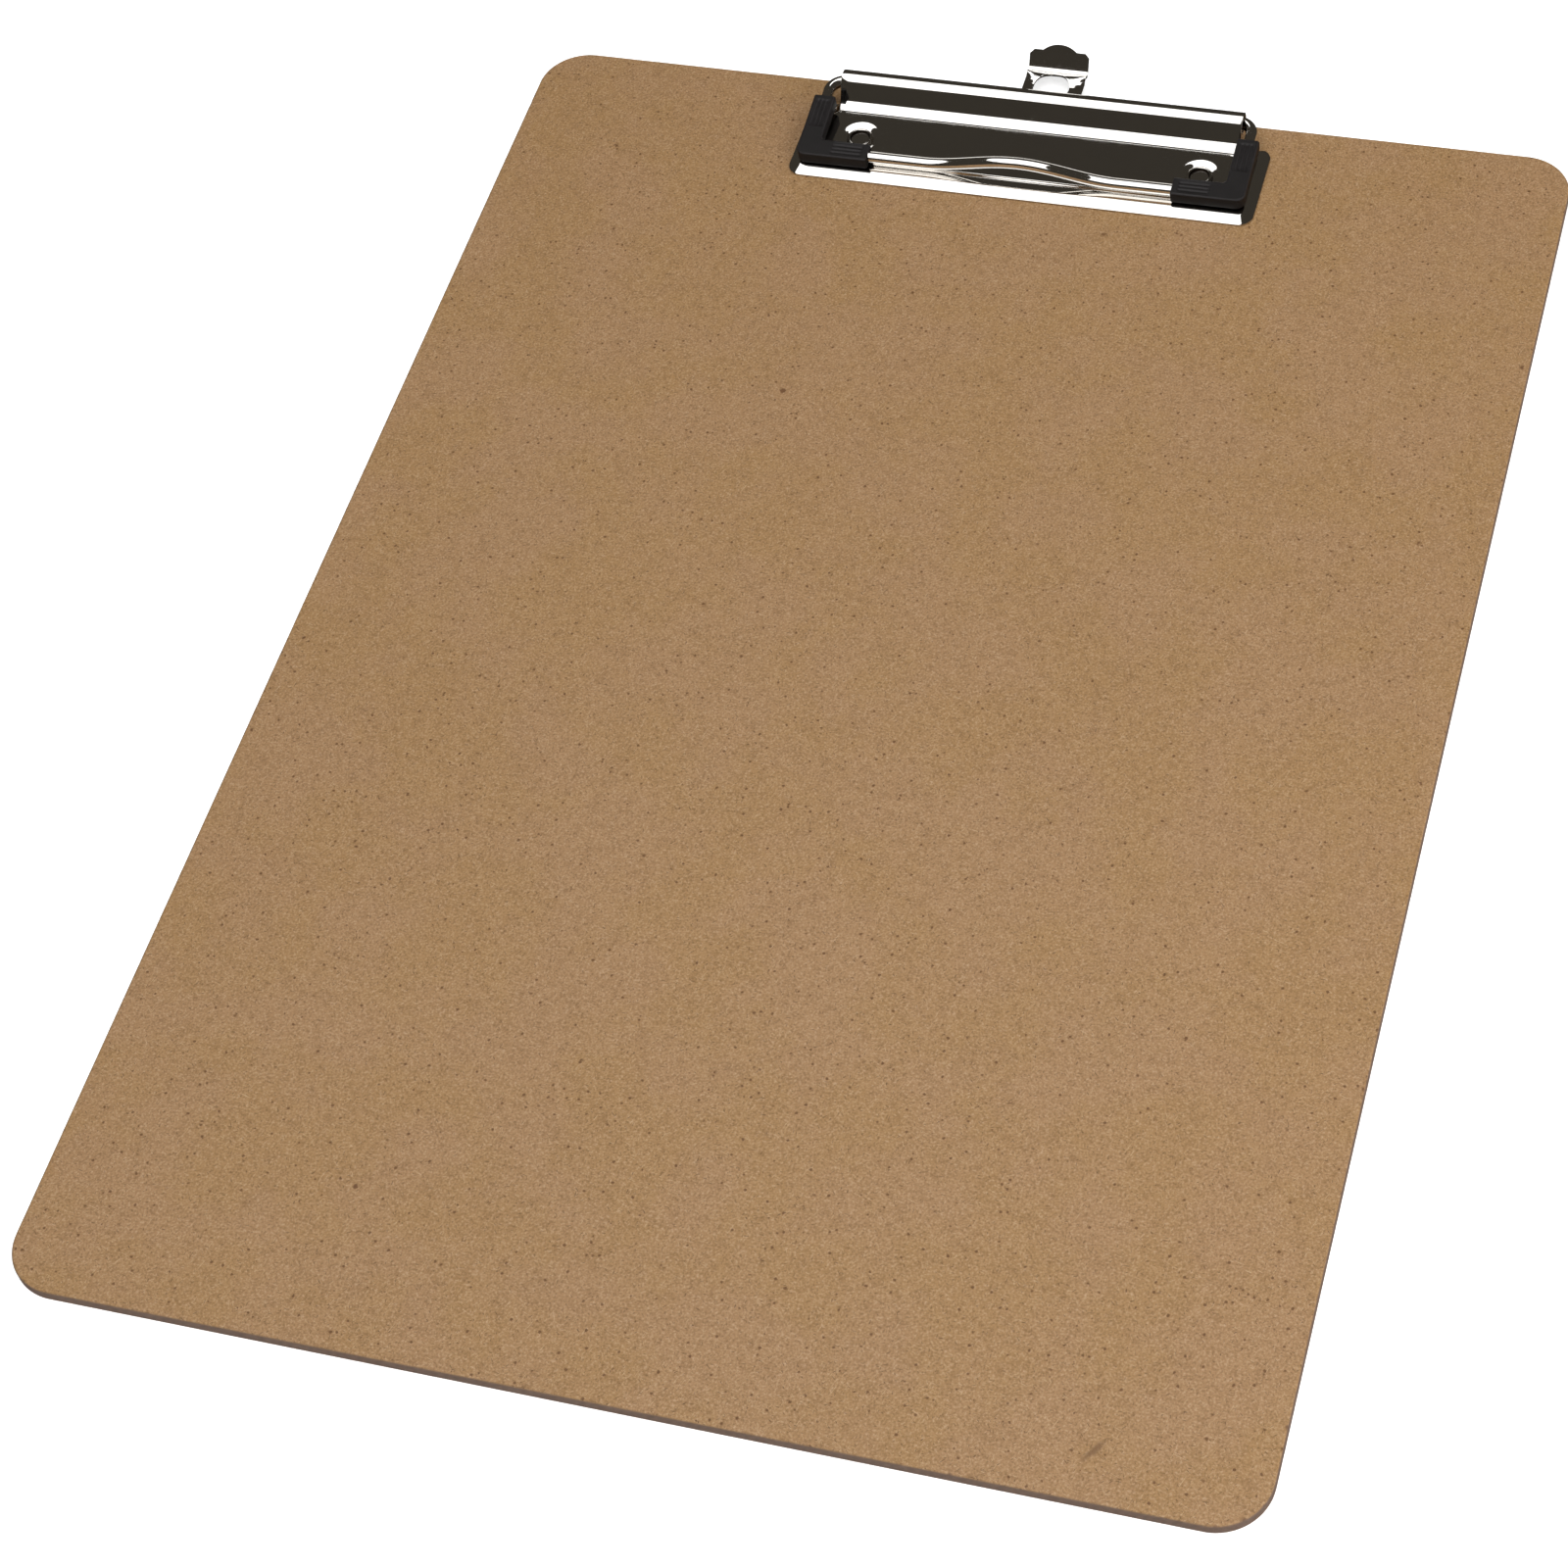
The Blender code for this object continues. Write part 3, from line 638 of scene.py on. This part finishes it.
def board_outline():
    """Points of the board's outline, each with its outward direction."""
    x = BOARD_HALF_WIDTH - BOARD_CORNER_RADIUS
    y = BOARD_HALF_LENGTH - BOARD_CORNER_RADIUS
    centres = [(x, y), (-x, y), (-x, -y), (x, -y)]
    outline = []
    steps = 16
    for quarter in range(4):
        centre = Vector((*centres[quarter], 0))
        for i in range(steps + 1):
            turn = (quarter + i / steps) * pi / 2
            outward = Vector((cos(turn), sin(turn), 0))
            outline.append((centre + outward * BOARD_CORNER_RADIUS, outward))
        start, outward = outline[-1]
        end = Vector((*centres[(quarter + 1) % 4], 0)) + outward * BOARD_CORNER_RADIUS
        count = round((end - start).length / BOARD_EDGE_PITCH)
        outline += [(start.lerp(end, i / count), outward) for i in range(1, count)]
    return outline


def edge_wear(point):
    """How far the board's top edge is worn back at a place."""
    worn = WEAR_DEPTH * max(noise.noise(point * 160) + 0.2, 0)
    worn += WEAR_DEPTH * max(noise.noise(point * 700), 0)
    for x, y, size in CHIPS:
        away = hypot(point.x - x * MM, point.y - y * MM)
        worn += CHIP_DEPTH * size * MM * exp(-(away / (size * MM)) ** 2)
    return worn


def make_board(material):
    """The hardboard panel: rounded and slightly worn edges, and holes for the rivets."""
    outline = board_outline()
    profile = [(BOARD_BACK_ROUND * (1 - sin(t)), BOARD_BACK_ROUND * (1 - cos(t)), 0.0)
               for t in (pi / 2 * i / 3 for i in range(4))]
    top = [(BOARD_TOP_ROUND * (1 - cos(t)), BOARD_THICKNESS - BOARD_TOP_ROUND * (1 - sin(t)), i / 6)
           for i, t in ((i, pi / 2 * i / 6) for i in range(7))]
    middle = [(0.0, BOARD_THICKNESS * k, 0.0) for k in (0.25, 0.5)]
    rings = []
    for inset, z, wear in profile + middle + top:
        ring = []
        for point, outward in outline:
            place = point - outward * (inset + wear * edge_wear(point))
            ring.append((place.x, place.y, z))
        rings.append(ring)
    inner = [(point - outward * BOARD_TOP_MARGIN) for point, outward in outline]
    rings.append([(p.x, p.y, BOARD_THICKNESS) for p in inner])
    board = add_object("pressed_fibre_board", loft(rings), material)
    cutters = []
    for x_sign in (-1, 1):
        for radius, depth in ((HOLE_RADIUS, 3 * BOARD_THICKNESS), (HEAD_POCKET_RADIUS, HEAD_POCKET_DEPTH)):
            bpy.ops.mesh.primitive_cylinder_add(vertices=64, radius=radius, depth=2 * depth,
                                                location=(x_sign * RIVET_X, RIVET_Y, 0))
            cutter = bpy.context.object
            cut = board.modifiers.new("cut", "BOOLEAN")
            cut.operation = "DIFFERENCE"
            cut.object = cutter
            cut.solver = "EXACT"
            cutters.append(cutter)
    bake_modifiers(board)
    for cutter in cutters:
        bpy.data.objects.remove(cutter)
    smooth(board, radians(40))
    keep_flat(board)
    finish_piece(board, "board", "hardboard", "board_panel")


# ---------------------------------------------------------------- base plate

def spaced(points, pitch):
    """Sorted values with extra ones put in wherever two are further apart than the pitch."""
    points = sorted(set(round(p, 7) for p in points))
    filled = []
    for low, high in zip(points, points[1:]):
        count = max(1, round((high - low) / pitch))
        filled += [low + (high - low) * i / count for i in range(count)]
    return filled + [points[-1]]


def plate_stations():
    """Grid lines of the plate's floor, close together where the sheet is curved."""
    rim = [PLATE_CORNER * i / 14 for i in range(15)]
    dimple = [DIMPLE_RADIUS * i / 22 for i in range(-23, 24)]
    right = [PLATE_HALF_WIDTH - offset for offset in rim] + [RIVET_X + offset for offset in dimple]
    right += [WALL_HALF_WIDTH, EAR_INNER_X, 0.0]
    right = [x for x in right if x >= 0]
    xs = spaced(right + [-x for x in right], GRID_PITCH_X)
    ys = [PLATE_FRONT_Y + offset for offset in rim] + [PLATE_REAR_Y - offset for offset in rim]
    ys += [STEP_Y + STEP_WIDTH * i / 24 for i in range(-13, 14)]
    ys += [RIVET_Y + offset for offset in dimple if RIVET_Y + offset < BEND_Y] + [BEND_Y]
    ys = spaced(ys, GRID_PITCH_Y)
    keep = [ys[0]]
    for y in ys[1:]:
        if y - keep[-1] > GRID_FINEST or abs(y - BEND_Y) < 1e-7:
            keep.append(y)
    return xs, keep


def step_profile(y):
    """How much of the step up from the ledge to the floor has been climbed: 0 to 1."""
    t = min(max((y - STEP_Y) / STEP_WIDTH + 0.5, 0), 1)
    return t * t * t * (t * (6 * t - 15) + 10)


def plate_point(x, y):
    """The place of one grid point of the plate's top face: rounded corners, rolled-down rim."""
    middle_y = (PLATE_FRONT_Y + PLATE_REAR_Y) / 2
    u = abs(x) - (PLATE_HALF_WIDTH - PLATE_CORNER)
    v = abs(y - middle_y) - ((PLATE_REAR_Y - PLATE_FRONT_Y) / 2 - PLATE_CORNER)
    edge_distance = PLATE_CORNER - max(u, v)
    if u > 0 and v > 0:
        a, b = u / PLATE_CORNER, v / PLATE_CORNER
        new_u = u * (1 - b * b / 2) ** 0.5
        new_v = v * (1 - a * a / 2) ** 0.5
        x += (new_u - u) * (1 if x > 0 else -1)
        y += (new_v - v) * (1 if y > middle_y else -1)
        edge_distance = PLATE_CORNER - hypot(new_u, new_v)
    if y > middle_y and abs(x) < EAR_INNER_X:
        edge_distance = RIM_WIDTH
    z = LEDGE_Z + (FLOOR_Z - LEDGE_Z) * step_profile(y)
    z -= (z - RIM_Z) * (1 - min(edge_distance / RIM_WIDTH, 1)) ** RIM_POWER
    from_rivet = hypot(abs(x) - RIVET_X, y - RIVET_Y)
    wall = min(max((DIMPLE_RADIUS - from_rivet) / (DIMPLE_RADIUS - DIMPLE_FLAT), 0), 1)
    z -= DIMPLE_DEPTH * wall * (1 + wall * (3 - 2 * wall)) / 2
    return Vector((x, y, z))


def end_edges(geometry):
    """The edges among the geometry that an extrusion or spin returned."""
    return [item for item in geometry if isinstance(item, bmesh.types.BMEdge)]


def make_base_plate(material):
    """The pressed base plate: floor, rolled-down rim, rear wall and rolled edge in one sheet."""
    xs, ys = plate_stations()
    bm = bmesh.new()
    grid = {}
    for i, x in enumerate(xs):
        for j, y in enumerate(ys):
            grid[i, j] = bm.verts.new(plate_point(x, y))
    for i in range(len(xs) - 1):
        for j in range(len(ys) - 1):
            behind = ys[j] > BEND_Y - 1e-7
            if behind and xs[i] > -EAR_INNER_X - 1e-7 and xs[i + 1] < EAR_INNER_X + 1e-7:
                continue
            bm.faces.new((grid[i, j], grid[i + 1, j], grid[i + 1, j + 1], grid[i, j + 1]))
    loose = [vertex for vertex in bm.verts if not vertex.link_faces]
    bmesh.ops.delete(bm, geom=loose, context="VERTS")

    bend_centre = Vector((0, BEND_Y, FLOOR_Z + BEND_RADIUS))
    roll_centre = Vector((0, ROLL_Y, ROLL_Z))
    across = roll_centre - bend_centre
    slope = pi / 2 - acos((BEND_RADIUS + ROLL_RADIUS) / across.length) + atan2(across.z, across.y)
    base = [edge for edge in bm.edges if edge.is_boundary
            and all(abs(vertex.co.y - BEND_Y) < 1e-6 for vertex in edge.verts)
            and all(abs(vertex.co.x) < WALL_HALF_WIDTH + 1e-6 for vertex in edge.verts)]
    ring = sorted({vertex for edge in base for vertex in edge.verts}, key=lambda vertex: vertex.co.x)
    bend = bmesh.ops.spin(bm, geom=base + ring, cent=bend_centre, axis=(1, 0, 0), angle=slope, steps=20)
    wall = bmesh.ops.extrude_edge_only(bm, edges=end_edges(bend["geom_last"]))
    wall_top = [item for item in wall["geom"] if isinstance(item, bmesh.types.BMVert)]
    length = (across.length ** 2 - (BEND_RADIUS + ROLL_RADIUS) ** 2) ** 0.5
    bmesh.ops.translate(bm, verts=wall_top, vec=(0, length * cos(slope), length * sin(slope)))
    bmesh.ops.spin(bm, geom=end_edges(wall["geom"]) + wall_top, cent=roll_centre, axis=(1, 0, 0),
                   angle=-ROLL_TURN, steps=72)
    plate = sheet_object("pressed_base_plate", bm, material, PLATE_SHEET)
    finish_piece(plate, "board", "chrome", "clip_base_plate")


# ---------------------------------------------------------------- bail

def bail_place():
    """Where the bail's flat layout goes: on the roll's axis, tilted down at the front."""
    turn = Matrix.Rotation(BAIL_YAW, 4, "Z") @ Matrix.Rotation(BAIL_TILT, 4, "X")
    return Matrix.Translation((BAIL_SHIFT, ROLL_Y, ROLL_Z)) @ turn


def bail_route():
    """The wire's centre line about the pivot: limb, arm, front bar with its arch, arm, limb."""
    half = []
    steps = 40
    for i in range(steps + 1):
        x = ARCH_HALF_WIDTH * i / steps
        half.append((x, -BAIL_REACH, ARCH_RISE * (1 + cos(pi * x / ARCH_HALF_WIDTH)) / 2))
    front = (ARM_X - FRONT_BEND, FRONT_BEND - BAIL_REACH)
    rear = (ARM_X - REAR_BEND, -REAR_BEND)
    half += [(x, y, 0.0) for x, y in arc(front, FRONT_BEND, -pi / 2, 0, 20)]
    half += [(x, y, 0.0) for x, y in arc(rear, REAR_BEND, 0, pi / 2, 24)]
    half.append((LIMB_END_X, 0.0, 0.0))
    return [(-x, y, z) for x, y, z in reversed(half[1:])] + half


def make_bail_wire(material):
    """The sprung wire that holds the paper down."""
    wire = add_object("sprung_bail_wire", tube(bail_route(), WIRE_RADIUS), material)
    wire.data.transform(bail_place())
    smooth(wire)
    finish_piece(wire, "bail", "chrome", "bail_wire")


def cover_edges():
    """Matching points of a cover's inner and outer edges, from the bar's end to the arm's."""
    out_x = ARM_X + COVER_HALF_LEG
    in_x = ARM_X - COVER_HALF_LEG
    front_y = -BAIL_REACH - COVER_HALF_LEG
    back_y = -BAIL_REACH + COVER_HALF_LEG
    inner_corner = (in_x - COVER_INNER_CORNER, back_y + COVER_INNER_CORNER)
    outer_corner = (out_x - COVER_CORNER, front_y + COVER_CORNER)
    inner, outer = [], []
    for t in (i / 70 for i in range(70)):
        inner.append((COVER_BAR_END_X + (inner_corner[0] - COVER_BAR_END_X) * t, back_y))
        outer.append((COVER_BAR_END_X + (outer_corner[0] - COVER_BAR_END_X) * t, front_y))
    inner += arc(inner_corner, COVER_INNER_CORNER, -pi / 2, 0, 20)
    outer += arc(outer_corner, COVER_CORNER, -pi / 2, 0, 20)
    for t in ((i + 1) / 80 for i in range(80)):
        inner.append((in_x, inner_corner[1] + (COVER_ARM_END_Y - inner_corner[1]) * t))
        outer.append((out_x, outer_corner[1] + (COVER_ARM_END_Y - outer_corner[1]) * t))
    return inner, outer


def groove_depth(x, y):
    """How deep the three grooves of a leg, and the hollow they lie in, are pressed at a place."""
    depth = 0.0
    arm = y > ARM_GROOVES_Y[0] - COVER_HALF_LEG
    along, across = (y, x - ARM_X) if arm else (x, y + BAIL_REACH)
    low, high = ARM_GROOVES_Y if arm else BAR_GROOVES_X
    inside = min(along - low, high - along)
    if inside > -GROOVE_FADE:
        fade = min(max((inside + GROOVE_FADE) / (2 * GROOVE_FADE), 0), 1)
        fade = fade * fade * (3 - 2 * fade)
        for i in (-1, 0, 1):
            away = (across - i * GROOVE_PITCH) / GROOVE_WIDTH
            depth += GROOVE_DEPTH * exp(-away * away) * fade
        depth += GROOVE_HOLLOW * fade
    return depth


def cover_section(width, inset):
    """One cross-section of a cover as (place across, height, whether it is on the top)."""
    low = COVER_BOTTOM + inset
    high = COVER_TOP - inset
    left = inset
    right = width - inset
    r = COVER_ROUND * (1 - inset / COVER_END_ROUND * 0.6)
    top_steps = 48
    section = [(x, z, False) for x, z in arc((left + r, low + r), r, -pi / 2, -pi, 5)]
    section += [(x, z, False) for x, z in arc((left + r, high - r), r, pi, pi / 2, 7)]
    section += [(left + r + (right - left - 2 * r) * i / top_steps, high, True)
                for i in range(1, top_steps)]
    section += [(x, z, False) for x, z in arc((right - r, high - r), r, pi / 2, 0, 7)]
    section += [(x, z, False) for x, z in arc((right - r, low + r), r, 0, -pi / 2, 5)]
    return section


def cover_rings(x_sign):
    """A cover's cross-sections from its bar end to its arm end, as rings of points."""
    inner, outer = cover_edges()
    inner = [Vector((x, y, 0)) for x, y in inner]
    outer = [Vector((x, y, 0)) for x, y in outer]
    last = len(inner) - 1
    ends = [COVER_END_ROUND * (1 - sin(pi / 2 * i / 5)) for i in range(6)]
    shifts = [COVER_END_ROUND * (1 - cos(pi / 2 * i / 5)) for i in range(6)]
    rings = []
    for end_index in range(last + 1):
        if end_index == 0 or end_index == last:
            order = range(5) if end_index == 0 else range(4, -1, -1)
            inward = Vector((1, 0, 0)) if end_index == 0 else Vector((0, -1, 0))
            stations = [(ends[i], inward * shifts[i]) for i in order]
        else:
            stations = [(0.0, Vector((0, 0, 0)))]
        for inset, shift in stations:
            first = inner[end_index] + shift
            second = outer[end_index] + shift
            across = (second - first).normalized()
            points = []
            for along, z, is_top in cover_section((second - first).length, inset):
                place = first + across * along
                if is_top:
                    z -= groove_depth(place.x, place.y)
                points.append((x_sign * place.x, place.y, z))
            rings.append(points)
    return rings


def make_cover(side, x_sign, material):
    """One moulded rubber corner with rounded edges and gripping grooves."""
    cover = add_object(f"rubber_corner_{side}", loft(cover_rings(x_sign)), material)
    cover.data.transform(bail_place())
    smooth(cover, radians(60))
    finish_piece(cover, "bail", "rubber", f"corner_cover_{side}")


# ---------------------------------------------------------------- rivets

def make_rivet(side, x_sign, material):
    """A tubular rivet: flat head in the board's back, hollow end rolled over on the plate."""
    near_axis = 0.01 * MM
    profile = [(near_axis, BORE_FLOOR_Z), (BORE_DISH_RADIUS, BORE_FLOOR_Z + BORE_DISH)]
    profile += arc((BORE_RADIUS - BORE_ROUND, BORE_ROUND_Z), BORE_ROUND, -pi / 2, 0, 5)
    profile += [(BORE_RADIUS, BORE_LOW_Z), (BORE_RADIUS, BORE_HIGH_Z)]
    profile += arc((RING_RADIUS, RING_Z), RING_ROUND, pi * 0.98, -pi / 4, 26)
    profile += [(SHANK_RADIUS, SHANK_TOP_Z), (SHANK_RADIUS, HEAD_TOP_Z)]
    profile += [(HEAD_RADIUS - HEAD_TOP_ROUND, HEAD_TOP_Z)]
    profile += arc((HEAD_RADIUS - HEAD_TOP_ROUND, HEAD_TOP_Z - HEAD_TOP_ROUND), HEAD_TOP_ROUND,
                   pi / 2, 0, 5)
    profile += arc((HEAD_RADIUS - HEAD_BOTTOM_ROUND, HEAD_BOTTOM_Z + HEAD_BOTTOM_ROUND),
                   HEAD_BOTTOM_ROUND, 0, -pi / 2, 8)
    profile += [(HEAD_FLAT_RADIUS, HEAD_BOTTOM_Z), (near_axis, HEAD_BOTTOM_Z)]
    steps = 64
    rings = [[(r * cos(t), r * sin(t), z) for t in (2 * pi * k / steps for k in range(steps))]
             for r, z in profile]
    rivet = add_object(f"rolled_rivet_{side}", loft(rings), material)
    rivet.location = (x_sign * RIVET_X, RIVET_Y, 0)
    smooth(rivet, radians(50))
    finish_piece(rivet, "board", "nickel", f"tubular_rivet_{side}")


# ---------------------------------------------------------------- hanging tab

def tab_pattern():
    """The hanging tab's flat pattern: stop shoulders at the inner end, a humped lip outside."""
    lip_y = TAB_BEND_Y + TAB_BEND_RADIUS * TAB_BEND_ANGLE + TAB_LIP
    bump_radius = (TAB_BUMP_HALF_WIDTH ** 2 + TAB_BUMP_RISE ** 2) / (2 * TAB_BUMP_RISE)
    bump_y = lip_y + TAB_BUMP_RISE - bump_radius
    spread = atan2(TAB_BUMP_HALF_WIDTH, bump_radius - TAB_BUMP_RISE)
    right = [(TAB_HEAD_HALF_WIDTH, TAB_INNER_Y), (TAB_HEAD_HALF_WIDTH, TAB_SHOULDER_Y),
             (TAB_HALF_WIDTH, TAB_SHOULDER_Y), (TAB_HALF_WIDTH, lip_y - TAB_LIP_CORNER),
             (TAB_HALF_WIDTH - TAB_LIP_CORNER, lip_y)]
    hump = arc((0, bump_y), bump_radius, pi / 2 - spread, pi / 2 + spread, 24)
    return right + hump + [(-x, y) for x, y in reversed(right)]


def fold(y, z):
    """Where a place of the flat pattern lands once the lip is bent up: (y, z)."""
    bend_length = TAB_BEND_RADIUS * TAB_BEND_ANGLE
    along = y - TAB_BEND_Y
    if along <= 0:
        return y, TAB_TOP_Z + z
    angle = min(along, bend_length) / TAB_BEND_RADIUS
    rest = max(along - bend_length, 0)
    radius = TAB_BEND_RADIUS - z
    return (TAB_BEND_Y + radius * sin(angle) + rest * cos(angle),
            TAB_TOP_Z + TAB_BEND_RADIUS - radius * cos(angle) + rest * sin(angle))


def tab_swell(x, y):
    """The tab's slight rise around its pierced hole, in front of the bend."""
    start = TAB_SWELL_Y + TAB_SWELL_SLANT * max(abs(x) - TAB_SWELL_HALF_WIDTH, 0)
    t = min(max((y - start) / (TAB_BEND_Y - start), 0), 1)
    sides = 1 - TAB_SWELL_DIP * exp(-((x - TAB_SWELL_DIP_X) / TAB_SWELL_DIP_WIDTH) ** 2)
    return TAB_SWELL * t * (1 - t ** 8) * sides


def flat_tab():
    """The tab's flat pattern with its nail hole, filled with faces."""
    curve = bpy.data.curves.new("flat", "CURVE")
    curve.dimensions = "2D"
    curve.fill_mode = "BOTH"
    hole = arc(TAB_HOLE_CENTRE, TAB_HOLE_RADIUS, 0, 2 * pi * 63 / 64, 63)
    for loop in (tab_pattern(), hole):
        spline = curve.splines.new("POLY")
        spline.points.add(len(loop) - 1)
        for point, (x, y) in zip(spline.points, loop):
            point.co = (x, y, 0.0, 1.0)
        spline.use_cyclic_u = True
    flat = bpy.data.objects.new("flat", curve)
    bpy.context.scene.collection.objects.link(flat)
    bpy.context.view_layer.update()
    evaluated = flat.evaluated_get(bpy.context.evaluated_depsgraph_get())
    bm = bmesh.new()
    bm.from_mesh(bpy.data.meshes.new_from_object(evaluated))
    bpy.data.objects.remove(flat)
    bmesh.ops.remove_doubles(bm, verts=bm.verts, dist=1e-6)
    bmesh.ops.dissolve_limit(bm, angle_limit=0.01, verts=bm.verts, edges=bm.edges)
    return bm


def make_hanger_tab(material):
    """The sliding tab: cut flat with its nail hole, folded at the lip, then given thickness."""
    bm = flat_tab()
    rows = [TAB_BEND_Y + TAB_BEND_RADIUS * TAB_BEND_ANGLE * i / 16 for i in range(17)]
    rows += [TAB_INNER_Y + TAB_GRID_Y * i for i in range(1, 19)]
    rows += [TAB_SWELL_Y + (TAB_BEND_Y - TAB_SWELL_Y) * i / 18 for i in range(18)]
    cuts = [((0, y, 0), (0, 1, 0)) for y in rows]
    cuts += [((TAB_GRID_X * i, 0, 0), (1, 0, 0)) for i in range(-12, 13)]
    for place, direction in cuts:
        everything = bm.verts[:] + bm.edges[:] + bm.faces[:]
        bmesh.ops.bisect_plane(bm, geom=everything, plane_co=place, plane_no=direction)
    for vertex in bm.verts:
        vertex.co.y, vertex.co.z = fold(vertex.co.y, tab_swell(vertex.co.x, vertex.co.y))
    tab = sheet_object("folded_hanger_tab", bm, material, TAB_SHEET)
    keep_flat(tab)
    finish_piece(tab, "tab", "chrome", "hanger_tab")


make_stage()
make_camera()
hardboard = hardboard_material()
chrome = plated_material("bright chrome", CHROME_COLOUR, 0.045)
# The nickel's last argument is the radius of the painted shade in the rivet's bore
nickel = plated_material("bright nickel", NICKEL_COLOUR, 0.07, RING_RADIUS - 0.3 * MM)
rubber = rubber_material()
make_board(hardboard)
make_base_plate(chrome)
make_bail_wire(chrome)
for side_name, sign in (("left", -1), ("right", 1)):
    make_cover(side_name, sign, rubber)
    make_rivet(side_name, sign, nickel)
make_hanger_tab(chrome)
